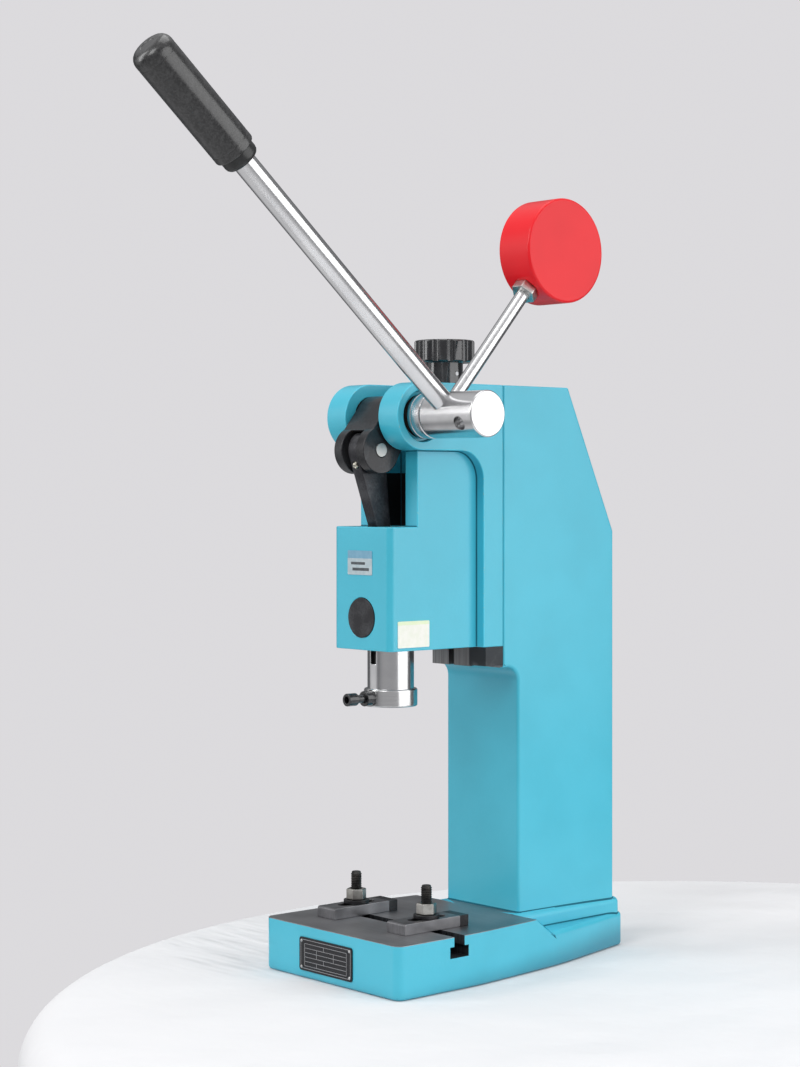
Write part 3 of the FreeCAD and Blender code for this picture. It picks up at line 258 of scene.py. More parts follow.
def ram_ground():
    """The round ram: cylindrically ground, with fine rings and a film of oil."""
    made, place = begin("ram_ground")
    rings = place.about(stretch=(20, 20, 1400)).noise(1.0, 3.0)
    cloud = place.noise(30.0)
    colour = cloud.rise(0.3, 0.7).blend(tone(0.60, 0.60, 0.61), tone(0.70, 0.70, 0.705))
    return end(made, place, Base_Color=colour, Metallic=1.0, Roughness=0.15 + rings * 0.10,
               Normal=rings.bump(0.000012))


def nose_turned():
    """The nose collar: turned, with a visible feed mark."""
    made, place = begin("nose_turned")
    rings = place.about(stretch=(8, 8, 2400)).noise(1.0, 2.0)
    return grained(made, place, rings, (0.62, 0.62, 0.625), (0.74, 0.74, 0.74),
                   rough=0.14, spread=0.12, depth=0.00002)


def hub_turned():
    """The lever hub: bright turned steel, ringed about its own axis."""
    made, place = begin("hub_turned")
    rings = place.about(stretch=(2200, 10, 10)).noise(1.0, 2.0)
    smear = place.noise(40.0, 3.0)
    colour = smear.rise(0.3, 0.7).blend(tone(0.58, 0.58, 0.59), tone(0.70, 0.70, 0.705))
    return end(made, place, Base_Color=colour, Metallic=1.0, Roughness=0.16 + rings * 0.10,
               Normal=rings.bump(0.000016))


def collar_turned():
    made, place = begin("collar_turned")
    rings = place.about(stretch=(1800, 10, 10)).noise(1.0, 2.0)
    return grained(made, place, rings, (0.50, 0.50, 0.51), (0.66, 0.66, 0.67),
                   rough=0.18, spread=0.12, depth=0.00002)


def lever_polished():
    """The lever: drawn bar, polished along its length."""
    made, place = begin("lever_polished")
    bar = place.about(tuple(LEVER_FOOT), turned=(-LEVER_LEAN, 0, 0), stretch=(700, 700, 14))
    lines = bar.noise(1.0, 3.0, 0.6)
    cloud = place.noise(18.0)
    colour = cloud.rise(0.3, 0.7).blend(tone(0.66, 0.66, 0.67), tone(0.76, 0.76, 0.765))
    return end(made, place, Base_Color=colour, Metallic=1.0, Roughness=0.13 + lines * 0.14,
               Normal=lines.bump(0.000012))


def balance_polished():
    """The balance rod: the same drawn bar, leaning back."""
    made, place = begin("balance_polished")
    bar = place.about(tuple(ROD_FOOT), turned=(ROD_LEAN, 0, 0), stretch=(800, 800, 16))
    lines = bar.noise(1.0, 3.0, 0.6)
    return grained(made, place, lines, (0.56, 0.56, 0.57), (0.70, 0.70, 0.705),
                   rough=0.16, spread=0.12, depth=0.000012)


def grip_rubber():
    """The grip's black plastic: a fine moulded grain, rubbed along its length."""
    made, place = begin("grip_rubber")
    bar = place.about(tuple(LEVER_FOOT), turned=(-LEVER_LEAN, 0, 0), stretch=(260, 260, 9))
    rubbed = bar.noise(1.0, 3.0, 0.6)
    grain = place.noise(620.0, 3.0, 0.7)
    colour = (rubbed * 0.35 + grain * 0.65).rise(0.38, 0.66).blend(
        tone(0.007, 0.007, 0.0075), tone(0.040, 0.040, 0.041))
    return end(made, place, Base_Color=colour, Roughness=0.27 + grain * 0.12, Coat_Weight=0.5,
               Coat_Roughness=0.14, Normal=grain.bump(0.00012))


def ferrule_moulded():
    made, place = begin("ferrule_moulded")
    mottle = place.noise(70.0, 3.0)
    colour = mottle.rise(0.3, 0.7).blend(tone(0.010, 0.011, 0.011), tone(0.022, 0.023, 0.024))
    return end(made, place, Base_Color=colour, Roughness=0.25 + mottle * 0.15,
               Normal=place.noise(500.0).bump(0.00005))


def weight_enamel():
    """The balance weight: thick gloss red over turned iron, with the faintest peel."""
    made, place = begin("weight_enamel")
    cloud = place.noise(16.0, 2.0)
    peel = place.noise(260.0, 2.0)
    colour = cloud.rise(0.3, 0.7).blend(tone(0.74, 0.007, 0.014), tone(0.82, 0.010, 0.018))
    return end(made, place, Base_Color=colour, Roughness=0.34 + cloud * 0.08,
               Specular_IOR_Level=0.2, Coat_Weight=0.28, Coat_Roughness=0.08,
               Normal=(peel * 0.4 + cloud).bump(0.00012))


def jam_nut_plated():
    made, place = begin("jam_nut_plated")
    bar = place.about(tuple(ROD_FOOT), turned=(ROD_LEAN, 0, 0), stretch=(500, 500, 60))
    lines = bar.noise(1.0)
    return grained(made, place, lines, (0.52, 0.52, 0.50), (0.66, 0.66, 0.64),
                   rough=0.24, spread=0.15, depth=0.00003)


def black_oxide(name, scale, shine, lift=1.0, oil=0.0):
    """Blacked steel: nearly black, rubbed a little brighter in patches and maybe oiled."""
    made, place = begin(name)
    cloud = place.noise(scale, 4.0)
    fine = place.noise(scale * 12.0, 2.0)
    colour = (cloud * 0.7 + fine * 0.3).rise(0.42, 0.66).blend(
        tone(0.010 * lift, 0.010 * lift, 0.012 * lift),
        tone(0.030 * lift, 0.031 * lift, 0.034 * lift))
    return end(made, place, Base_Color=colour, Metallic=0.35, Roughness=shine + cloud * 0.16,
               Coat_Weight=oil, Coat_Roughness=0.08, Normal=fine.bump(0.00008))


def knob_blacked():
    return black_oxide("knob_blacked", 55.0, 0.16, 0.9, 1.0)


def crank_blacked():
    return black_oxide("crank_blacked", 48.0, 0.24, 1.2, 0.15)


def link_blacked():
    return black_oxide("link_blacked", 62.0, 0.26, 2.2)


def plug_blacked():
    return black_oxide("plug_blacked", 80.0, 0.36, 1.7)


def screw_blacked():
    return black_oxide("screw_blacked", 110.0, 0.22)


def tool_screw_blacked():
    return black_oxide("tool_screw_blacked", 130.0, 0.20, 1.0, 0.8)


def end_cap_blacked():
    return black_oxide("end_cap_blacked", 64.0, 0.28)


def heel_blacked():
    return black_oxide("heel_blacked", 90.0, 0.34)


def washer_blacked():
    return black_oxide("washer_blacked", 100.0, 0.28)


def crank_pin_ground():
    made, place = begin("crank_pin_ground")
    rings = place.about(stretch=(900, 40, 40)).noise(1.0)
    return grained(made, place, rings, (0.44, 0.44, 0.43), (0.58, 0.58, 0.56),
                   rough=0.36, spread=0.15, depth=0.00002)


def ram_pin_hardened():
    made, place = begin("ram_pin_hardened")
    rings = place.about(stretch=(900, 60, 60)).noise(1.0)
    return grained(made, place, rings, (0.36, 0.36, 0.38), (0.5, 0.5, 0.52),
                   rough=0.25, spread=0.15, depth=0.00002)


def key_steel():
    made, place = begin("key_steel")
    lines = place.about(stretch=(600, 60, 60)).noise(1.0)
    return grained(made, place, lines, (0.40, 0.41, 0.42), (0.54, 0.55, 0.56),
                   rough=0.28, spread=0.2, depth=0.00003)


def lead_screw_rolled():
    """The lift screw's thread rolled bright, ring by ring."""
    made, place = begin("lead_screw_rolled")
    rings = place.about(stretch=(30, 30, 1500)).noise(1.0)
    return grained(made, place, rings, (0.40, 0.40, 0.40), (0.56, 0.56, 0.555),
                   rough=0.24, spread=0.2, depth=0.00004)


def knob_pin_steel():
    made, place = begin("knob_pin_steel")
    dirt = place.noise(200.0)
    return grained(made, place, dirt, (0.30, 0.30, 0.31), (0.45, 0.45, 0.46),
                   rough=0.3, spread=0.2)


def guide_pin_steel():
    made, place = begin("guide_pin_steel")
    dirt = place.noise(160.0)
    return grained(made, place, dirt, (0.34, 0.34, 0.35), (0.48, 0.48, 0.49),
                   rough=0.28, spread=0.2)


def bush_bronze():
    """The shaft and link bushes: turned bronze, browned where it isn't rubbed."""
    made, place = begin("bush_bronze")
    rings = place.about(stretch=(1200, 30, 30)).noise(1.0)
    brown = place.noise(80.0, 4.0).rise(0.4, 0.7)
    colour = brown.blend(tone(0.62, 0.40, 0.17), tone(0.36, 0.22, 0.10))
    return end(made, place, Base_Color=colour, Metallic=1.0, Roughness=0.22 + rings * 0.2,
               Normal=rings.bump(0.00003))


def bush_painted_shade():
    """The shaft's bushes, painted near black at their ends as the shade in the boss's recess."""
    made, place = begin("bush_painted_shade")
    mottle = place.noise(130.0, 4.0)
    colour = mottle.rise(0.35, 0.7).blend(tone(0.008, 0.009, 0.010), tone(0.040, 0.030, 0.020))
    return end(made, place, Base_Color=colour, Metallic=0.5, Roughness=0.34 + mottle * 0.2,
               Normal=mottle.bump(0.00006))


def keyway_dark():
    """The ram's keyway: a milled groove, coloured near black."""
    made, place = begin("keyway_dark")
    lines = place.about(stretch=(400, 400, 30)).noise(1.0)
    return grained(made, place, lines, (0.012, 0.012, 0.013), (0.035, 0.035, 0.036),
                   rough=0.35, spread=0.2, metal=0.5)


def oiler_brass():
    made, place = begin("oiler_brass")
    dirt = place.noise(300.0)
    colour = dirt.rise(0.4, 0.7).blend(tone(0.60, 0.58, 0.50), tone(0.34, 0.32, 0.26))
    return end(made, place, Base_Color=colour, Metallic=1.0, Roughness=0.18 + dirt * 0.2)


def clamp_ground():
    """The clamp straps: ground tool steel with a thin grey oxide, rubbed in patches."""
    made, place = begin("clamp_ground")
    lines = place.about(turned=(0, 0, 4), stretch=(900, 20, 60)).noise(1.0, 3.0)
    cloud = place.noise(48.0, 4.0)
    colour = (lines * 0.3 + cloud * 0.7).rise(0.3, 0.7).blend(
        tone(0.15, 0.15, 0.158), tone(0.27, 0.27, 0.28))
    return end(made, place, Base_Color=colour, Metallic=1.0, Roughness=0.30 + cloud * 0.2,
               Normal=lines.bump(0.00004))


def stud_blacked():
    """The T-bolts: blacked thread, rubbed dark grey in patches."""
    made, place = begin("stud_blacked")
    cloud = place.noise(120.0, 3.0)
    colour = cloud.rise(0.35, 0.7).blend(tone(0.028, 0.028, 0.028), tone(0.085, 0.08, 0.075))
    return end(made, place, Base_Color=colour, Metallic=0.8, Roughness=0.28 + cloud * 0.25,
               Normal=place.noise(700.0).bump(0.00004))


def clamp_nut_steel():
    """The clamp nuts: plain steel, a little yellowed."""
    made, place = begin("clamp_nut_steel")
    cloud = place.noise(110.0, 3.0)
    colour = cloud.rise(0.3, 0.7).blend(tone(0.28, 0.27, 0.25), tone(0.50, 0.49, 0.46))
    return end(made, place, Base_Color=colour, Metallic=1.0, Roughness=0.22 + cloud * 0.25,
               Normal=place.noise(600.0).bump(0.00003))


def small_screw_plated():
    made, place = begin("small_screw_plated")
    cloud = place.noise(150.0)
    return grained(made, place, cloud, (0.45, 0.45, 0.44), (0.62, 0.62, 0.60),
                   rough=0.25, spread=0.15)


def plate_black():
    """The nameplate's field: black anodised, with a fine grain."""
    made, place = begin("plate_black")
    lines = place.about(stretch=(30, 30, 1800)).noise(1.0, 2.0)
    return grained(made, place, lines, (0.010, 0.010, 0.012), (0.022, 0.022, 0.025),
                   rough=0.30, spread=0.15, depth=0.00002, metal=0.4)


def plate_silver():
    """The nameplate's bare rim and border line."""
    made, place = begin("plate_silver")
    lines = place.about(stretch=(900, 30, 30)).noise(1.0, 2.0)
    return grained(made, place, lines, (0.38, 0.38, 0.39), (0.50, 0.50, 0.51),
                   rough=0.28, spread=0.2)


def rivet_steel():
    made, place = begin("rivet_steel")
    cloud = place.noise(400.0)
    return grained(made, place, cloud, (0.40, 0.40, 0.40), (0.60, 0.60, 0.60),
                   rough=0.25, spread=0.2)


def label_film(name, deep, pale):
    """The film of a label: two near tones over a fine fibre."""
    made, place = begin(name)
    fibre = place.noise(260.0, 3.0)
    colour = fibre.rise(0.3, 0.7).blend(deep, pale)
    return end(made, place, Base_Color=colour, Roughness=0.32 + fibre * 0.12,
               Normal=fibre.bump(0.00002))


def front_label_film():
    return label_film("front_label_film", tone(0.40, 0.50, 0.54), tone(0.50, 0.58, 0.61))


def front_label_band():
    return label_film("front_label_band", tone(0.16, 0.36, 0.50), tone(0.20, 0.40, 0.54))


def label_print():
    """The dark print of a label."""
    made, place = begin("label_print")
    fibre = place.noise(300.0)
    colour = fibre.rise(0.3, 0.7).blend(tone(0.045, 0.055, 0.065), tone(0.085, 0.10, 0.11))
    return end(made, place, Base_Color=colour, Roughness=0.4 + fibre * 0.1)


def side_label_film():
    return label_film("side_label_film", tone(0.84, 0.86, 0.76), tone(0.90, 0.90, 0.83))


def side_label_band():
    return label_film("side_label_band", tone(0.74, 0.86, 0.58), tone(0.80, 0.88, 0.64))


# Mesh work.

def merged(node):
    """A welded copy of a CAD node's mesh, its flat faces joined up."""
    bm = bmesh.new()
    bm.from_mesh(NODES[node].data)
    bmesh.ops.remove_doubles(bm, verts=bm.verts, dist=WELD)
    bmesh.ops.dissolve_limit(bm, angle_limit=FLAT, verts=bm.verts, edges=bm.edges,
                             use_dissolve_boundaries=False, delimit={"NORMAL"})
    return bm


def inside(p, x=(-FAR, FAR), y=(-FAR, FAR), z=(-FAR, FAR)):
    """True for a point between these limits, in millimetres."""
    return all(low * MM < value < high * MM for value, (low, high) in zip(p, (x, y, z)))


def off_z(p):
    """How far a point is from the Z axis, which is the ram's."""
    return math.hypot(p.x, p.y)


def bevelled(bm, edges, width, segments, clamp=False):
    """Round edges to a width in millimetres, and return the faces of the rounding."""
    return bmesh.ops.bevel(bm, geom=edges, offset=width * MM, offset_type="OFFSET",
                           segments=segments, profile=0.5, affect="EDGES", clamp_overlap=clamp,
                           material=-1)["faces"]


def broken(bm, width, segments, keep=lambda middle: True):
    """Round the sharp edges whose middle keep picks, and return the faces of the rounding."""
    sharp = [e for e in bm.edges if len(e.link_faces) == 2 and e.calc_face_angle(0) > SHARP
             and keep((e.verts[0].co + e.verts[1].co) / 2)]
    return bevelled(bm, sharp, width, segments)


def hollow(face):
    """True for a face whose edges bend inwards more than outwards, as in an inner corner."""
    bends = [e.calc_face_angle(0) * e.calc_length() * (1 if e.is_convex else -1)
             for e in face.edges]
    return sum(bends) < 0


def split(bm, pick, spot, normal):
    """Cut the faces that pick chooses with a plane."""
    around = {f for f in bm.faces if pick(f)}
    around |= {e for f in around for e in f.edges} | {v for f in around for v in f.verts}
    bmesh.ops.bisect_plane(bm, geom=list(around), plane_co=spot, plane_no=normal)


def placed(bm, matrix):
    """Move a bmesh, and return it."""
    bmesh.ops.transform(bm, matrix=matrix, verts=bm.verts)
    return bm


def slab(low, high):
    """A plain box between two corners."""
    bm = bmesh.new()
    bmesh.ops.create_cube(bm, size=1.0)
    low, high = Vector(low), Vector(high)
    return placed(bm, Matrix.Translation((low + high) / 2) @ Matrix.Diagonal((*(high - low), 1.0)))


def lathe(profile, steps, closed=False):
    """A shape of revolution about Z, from points of (radius, height) in millimetres.

    A closed profile is a ring's: its last point is joined to its first."""
    bm = bmesh.new()
    points = [bm.verts.new((r * MM, 0, z * MM)) for r, z in profile]
    links = list(zip(points, points[1:])) + ([(points[-1], points[0])] if closed else [])
    edges = [bm.edges.new(pair) for pair in links]
    bmesh.ops.spin(bm, geom=points + edges, cent=(0, 0, 0), axis=(0, 0, 1), dvec=(0, 0, 0),
                   angle=math.tau, steps=steps, use_merge=True, use_duplicate=False)
    bmesh.ops.remove_doubles(bm, verts=bm.verts, dist=1e-7)
    bmesh.ops.recalc_face_normals(bm, faces=bm.faces)
    return bm


def joined(first, *others):
    """Add other bmeshes to the first one."""
    for other in others:
        spare = bpy.data.meshes.new("spare")
        other.to_mesh(spare)
        first.from_mesh(spare)
        bpy.data.meshes.remove(spare)
        other.free()
    return first


def linked(name, data):
    """A new object of the scene."""
    made = bpy.data.objects.new(name, data)
    bpy.context.scene.collection.objects.link(made)
    return made


def meshed(name, bm, finishes):
    """A new object of the scene from a bmesh and its materials."""
    mesh = bpy.data.meshes.new(name)
    bm.to_mesh(mesh)
    bm.free()
    for finish in finishes:
        mesh.materials.append(finish)
    return linked(name, mesh)


def piece(name, bm, body, slot, finishes, *nodes):
    """Make a bmesh a piece of the press, riding on a body in place of its CAD nodes."""
    bmesh.ops.dissolve_degenerate(bm, dist=TINY, edges=bm.edges)
    for face in bm.faces:
        face.smooth = True
    for edge in bm.edges:
        edge.smooth = len(edge.link_faces) != 2 or edge.calc_face_angle(0) < SHARP
    made = meshed(name, bm, finishes)
    shading = made.modifiers.new("normals", "WEIGHTED_NORMAL")
    shading.keep_sharp = True
    shading.weight = 80
    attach(made, body)
    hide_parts(*nodes)


def leaning(foot, axis, degrees):
    """A place at foot, turned about one of its axes."""
    return Matrix.Translation(foot) @ Matrix.Rotation(math.radians(degrees), 4, axis)


# Places that several pieces share. Leans are in degrees.

def middle(node):
    """The middle of a CAD node's box."""
    low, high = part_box(node)
    return (low + high) / 2


SHAFT = middle("end_cap")
LEVER_LEAN = 49.0
ROD_LEAN = 41.4
LEVER_FOOT = Vector((71 * MM, SHAFT.y, SHAFT.z))
ROD_FOOT = Vector((60 * MM, SHAFT.y, SHAFT.z))
LEVER = leaning(LEVER_FOOT, "X", LEVER_LEAN)
ROD = leaning(ROD_FOOT, "X", -ROD_LEAN)


def up_the_lever(distance):
    """A place on the lever's axis, this many millimetres from its foot."""
    return leaning(LEVER @ Vector((0, 0, distance * MM)), "X", LEVER_LEAN)


# The frame.

def base_casting():
    """The base and column: enamelled casting with a ground table and a milled T-slot."""
    bm = merged("base_column")
    paint, edge, ground, milled, scraped, corner = range(6)
    table_z, table_end, slide_y, foot_rim = 38, 84, 76, 3
    taps = lambda p: inside(p, x=(-14, 14), y=(70, 90), z=(200, FAR))
    slot = lambda p: inside(p, y=(-9.5, 9.5), z=(22.5, 38.5))
    table = lambda p: inside(p, y=(-FAR, table_end + 1), z=(table_z - 0.6, table_z + 0.6))
    foot = lambda p: inside(p, z=(-FAR, 1))
    rims = set(broken(bm, 2.6, 5, foot))
    rims |= set(broken(bm, 0.9, 3, lambda p: not (taps(p) or slot(p) or table(p) or foot(p))))
    rims |= set(broken(bm, 0.45, 2, lambda p: table(p) and not slot(p)))
    rims |= set(broken(bm, 0.25, 1, slot))
    for face in bm.faces:
        c, n = face.calc_center_median(), face.normal
        if slot(c) and abs(n.x) < 0.5:
            face.material_index = milled
        elif n.z > 0.3 and inside(c, y=(-FAR, table_end + 0.2), z=(table_z - 0.7, table_z + 0.7)):
            face.material_index = ground
        elif n.y < -0.8 and inside(c, y=(slide_y - 0.4, slide_y + 0.4)):
            face.material_index = scraped
        elif face in rims and c.z > foot_rim * MM:
            # Roundings: painted shade in inner corners, painted highlight on outer edges.
            face.material_index = corner if hollow(face) else edge
        else:
            face.material_index = paint
    piece("base_casting", bm, "frame", "casting_paint",
          [ENAMEL, EDGE_WEAR_AND_HIGHLIGHT, table_ground(), slot_milled(), slide_scraped(), CORNER_SHADE],
          "base_column")


def terrace(low, high, rings, radius, closed=False):
    """A plate facing -Y, from rings of (inset, depth behind its face) in millimetres.

    Each ring is a rounded rectangle whose corner radius shrinks with its inset. A closed one
    is a hollow frame: its last ring is joined to its first."""
    bm = bmesh.new()
    centre, loops, steps = (low + high) / 2, [], 5
    for inset, depth in rings:
        bend = max(radius - inset, 0.05 * radius + 0.02) * MM
        half_x = (high.x - low.x) / 2 - inset * MM - bend
        half_z = (high.z - low.z) / 2 - inset * MM - bend
        loop = []
        for k in range(4 * (steps + 1)):
            quarter = k // (steps + 1)
            a = math.radians(90 * quarter + 90 * (k % (steps + 1)) / steps)
            side = (1 if quarter in (0, 3) else -1, 1 if quarter < 2 else -1)
            x = centre.x + side[0] * half_x + bend * math.cos(a)
            z = centre.z + side[1] * half_z + bend * math.sin(a)
            loop.append(bm.verts.new((x, low.y + depth * MM, z)))
        loops.append(loop)
    pairs = list(zip(loops, loops[1:])) + ([(loops[-1], loops[0])] if closed else [])
    for first, second in pairs:
        for k in range(len(first)):
            after = (k + 1) % len(first)
            bm.faces.new((first[k], first[after], second[after], second[k]))
    if not closed:
        bm.faces.new(loops[0])
        bm.faces.new(loops[-1])
    bmesh.ops.recalc_face_normals(bm, faces=bm.faces)
    return bm


def nameplate():
    """The nameplate, left blank: a black field with a fine border line and empty ruled boxes."""
    low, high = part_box("nameplate")
    plate = terrace(low, high, [(0, 1.0), (0, 0.15), (0.15, 0), (0.8, 0), (0.95, 0.2)], 2.0)
    border = terrace(low, high, [(1.5, 0.24), (1.5, 0.12), (1.85, 0.12), (1.85, 0.24)], 2.4, True)
    front, back = low.y + 0.13 * MM, low.y + 0.24 * MM
    centre = (low + high) / 2
    half, thin = 23.5, 0.15
    heights = (7.6, 4.4, 1.2, -2.0, -5.2, -8.4)
    posts = ((-half, -2, half), (-half, -10, 9, half), (-half, -10, 9, half), (-half, -2, half),
             (-half, -10, half))
    rules = [(-half, half, z - thin, z + thin) for z in heights]
    for over, under, row in zip(heights, heights[1:], posts):
        rules += [(x - thin, x + thin, under + thin, over - thin) for x in row]
    bars = [slab((centre.x + left * MM, front, centre.z + bottom * MM),
                 (centre.x + right * MM, back, centre.z + top * MM))
            for left, right, bottom, top in rules]
    silver = joined(border, *bars)
    for face in silver.faces:
        face.material_index = 1
    piece("blank_nameplate", joined(plate, silver), "frame", "label_dark",
          [plate_black(), plate_silver()], "nameplate")


def rivets():
    """Four domed drive rivets, one at each corner of their common box."""
    low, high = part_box("nameplate_rivets")
    radius = 1.2
    profile = [(0, 0.6), (0.45, 0.56), (0.85, 0.42), (1.1, 0.2), (radius, 0), (0, 0)]
    domes = [placed(lathe(profile, 20), leaning((x, high.y, z), "X", 90))
             for x in (low.x + radius * MM, high.x - radius * MM)
             for z in (low.z + radius * MM, high.z - radius * MM)]
    piece("plate_rivets", joined(*domes), "frame", "zinc_steel", [rivet_steel()],
          "nameplate_rivets")


# The head.

def crank_slot_wall(face):
    """True for the inner faces of the cheeks and the wall at the back of the crank slot."""
    c, n = face.calc_center_median(), face.normal
    cheek_x, back_y, floor_z = 18.2, 26, 325.5
    cheek = abs(n.x) > 0.9 and abs(abs(c.x) - cheek_x * MM) < 0.3 * MM
    back = abs(n.y) > 0.9 and inside(c, x=(-18, 18), y=(back_y - 0.3, back_y + 0.3))
    return (cheek or back) and c.z > floor_z * MM


def head_casting():
    """The sliding head: enamelled outside, with black painted shadow in the lower part of the
    crank slot.
    """
    bm = merged("head_casting")
    paint, edge, black, milled, corner = range(5)
    dark_top = 365 * MM
    split(bm, crank_slot_wall, (0, 0, dark_top), (0, 0, 1))
    channel = lambda p: inside(p, x=(-27.5, 27.5), y=(26.2, FAR), z=(-FAR, 415.5))
    bore = lambda p: off_z(p) < 17.4 * MM and p.z < 327 * MM
    taps = lambda p: inside(p, x=(-FAR, -38.5), y=(60, 75), z=(249, 321))
    pin_hole = lambda p: inside(p, x=(-3.5, 3.5), y=(-FAR, -10), z=(240, 262))
    fine = lambda p: channel(p) or bore(p) or taps(p) or pin_hole(p)
    rims = set(broken(bm, 0.8, 3, lambda p: not fine(p)))
    rims |= set(broken(bm, 0.3, 1, bore))
    for face in bm.faces:
        c, n = face.calc_center_median(), face.normal
        if crank_slot_wall(face) and c.z < dark_top:
            # Painted shadow: the lower walls of the crank slot are coloured black.
            face.material_index = black
        elif channel(c) or (bore(c) and abs(n.z) < 0.5):
            face.material_index = milled
        elif face in rims:
            # Roundings: painted shade in inner corners, painted highlight on outer edges.
            face.material_index = corner if hollow(face) else edge
        else:
            face.material_index = paint
    piece("head_shell", bm, "head", "casting_paint",
          [ENAMEL, EDGE_WEAR_AND_HIGHLIGHT, slot_painted_shadow(), lift_nut_milled(), CORNER_SHADE], "head_casting")


def trimmed(name, node, body, slot, finish, width, segments):
    """A machined piece: its CAD shape with the sharp edges broken."""
    bm = merged(node)
    broken(bm, width, segments)
    piece(name, bm, body, slot, [finish], node)


def label(name, node, body, across, film, band, share, bars=()):
    """A label of thin film, its corners rounded, with a band above a share of its height.

    The film is thin along the axis called across. The text is left out: bars of (left, right,
    bottom, top), in shares of the front, stand in for lines of print."""
    low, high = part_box(node)
    span = high - low
    bm = slab(low, high)
    band_z = low.z + share * span.z
    corners = [e for e in bm.edges
               if abs(getattr(e.verts[0].co - e.verts[1].co, across)) > LEVEL]
    bevelled(bm, corners, 0.8, 4, clamp=True)
    bmesh.ops.bisect_plane(bm, geom=bm.verts[:] + bm.edges[:] + bm.faces[:],
                           plane_co=(0, 0, band_z), plane_no=(0, 0, 1))
    for face in bm.faces:
        face.material_index = int(face.calc_center_median().z > band_z)
    front, back = low.y - 0.02 * MM, low.y + 0.1 * MM
    for left, right, bottom, top in bars:
        bar = slab((low.x + left * span.x, front, low.z + bottom * span.z),
                   (low.x + right * span.x, back, low.z + top * span.z))
        for face in bar.faces:
            face.material_index = 2
        joined(bm, bar)
    piece(name, bm, body, "label_film", [film, band, LABEL_PRINT], node)


# The lift knob.

def knob():
    """The knob: fluted rim with broken edges and a shallow turned recess on top."""
    bm = merged("adjust_knob")
    axis_y, stem_radius, stem_foot, rim_foot = 53 * MM, 12.5 * MM, 447.5 * MM, 460 * MM
    broken(bm, 0.5, 2, lambda p: p.z > stem_foot
           or (p.x ** 2 + (p.y - axis_y) ** 2) ** 0.5 > stem_radius)
    top = max((f for f in bm.faces if f.normal.z > 0.99 and f.calc_center_median().z > rim_foot),
              key=lambda f: f.calc_area())
    bmesh.ops.inset_region(bm, faces=[top], thickness=3.2 * MM, depth=0.0, use_even_offset=True)
    bmesh.ops.inset_region(bm, faces=[top], thickness=0.5 * MM, depth=-0.7 * MM,
                           use_even_offset=True)
    piece("fluted_knob", bm, "knob", "black_steel", [knob_blacked()], "adjust_knob")


# The crankshaft group.

def lever():
    """The lever bar, both its ends chamfered: one in the hub and one in the grip."""
    bar = lathe([(0, 6), (7.4, 6), (8, 6.6), (8, 337.4), (7.4, 338), (0, 338)], 64)
    piece("lever_bar", placed(bar, LEVER), "crankshaft", "polished_steel", [lever_polished()],
          "lever_rod")


def grip():
    """The grip: a plain barrel between two shallow grooves and a rounded, flat-ended cap."""
    radius, length, bend = 14.7, 91, 7
    rounding = [(radius - bend + bend * math.cos(a), length - bend + bend * math.sin(a))
                for a in [math.radians(15 * k) for k in range(7)]]
    profile = [(0, 83), (8, 83), (8, 0.0), (14.0, 0.0), (14.5, 0.3), (radius, 0.9), (radius, 5.2),
               (14.45, 5.7), (14.45, 6.3), (radius, 6.8), (radius, 40), (radius, 80),
               (14.5, 80.4), (14.5, 81.0), (radius, 81.4)]
    profile += rounding + [(5.5, length), (5.2, length - 0.3), (0, length - 0.3)]
    piece("lever_handle", placed(lathe(profile, 96), up_the_lever(255)), "crankshaft",
          "grip_plastic", [grip_rubber()], "lever_grip")
    neck = lathe([(8, 0), (10.2, 0), (11.4, 0.5), (12.2, 1.6), (12.5, 3.2), (12.5, 7.6),
                  (12.2, 8.4), (12.2, 9.0), (8, 9.0)], 72, closed=True)
    piece("handle_neck", placed(neck, up_the_lever(246)), "crankshaft", "black_steel",
          [ferrule_moulded()], "grip_ferrule")


def balance():
    """The balance rod with its weight, which the CAD has already rounded, and its jam nut."""
    bar = lathe([(0, 10), (4.6, 10), (5, 10.4), (5, 145.1), (4.6, 145.5), (0, 145.5)], 48)
    piece("balance_bar", placed(bar, ROD), "crankshaft", "polished_steel", [balance_polished()],
          "balance_rod")
    piece("red_weight", merged("balance_weight"), "crankshaft", "red_enamel", [weight_enamel()],
          "balance_weight")
    trimmed("weight_jam_nut", "jam_nut", "crankshaft", "polished_steel", jam_nut_plated(), 0.6, 2)


def collar():
    """The spacer collar on the shaft, with a shallow groove round it."""
    low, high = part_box("hub_collar")
    long = (high.x - low.x) / MM
    ring = [(12.5, 0), (15.9, 0), (16.5, 0.6), (16.5, 3.4), (16.1, 3.7), (16.1, 4.3), (16.5, 4.6),
            (16.5, long - 0.6), (15.9, long), (12.5, long)]
    bm = placed(lathe(ring, 72, closed=True), leaning((low.x, SHAFT.y, SHAFT.z), "Y", 90))
    piece("spacer_collar", bm, "crankshaft", "machined_steel", [collar_turned()], "hub_collar")


def oiler():
    """The ball oiler in the link's eye."""
    lean, reach = math.radians(43), 10.5 * MM
    pin = middle("crank_pin")
    foot = Vector((0, pin.y - reach * math.sin(lean), pin.z - reach * math.cos(lean)))
    bm = lathe([(0, 0), (2.6, 0), (2.6, 4.6), (2.5, 5.2), (2.1, 5.75), (1.6, 6.0), (1.25, 5.9),
                (1.1, 5.5), (1.0, 5.35), (0.8, 5.75), (0.45, 5.95), (0, 6.0)], 32)
    turn = Matrix.Rotation(math.pi - lean, 4, "X")
    piece("ball_oiler", placed(bm, Matrix.Translation(foot) @ turn), "link", "bearing_bronze",
          [oiler_brass()], "link_oiler")


# The ram.

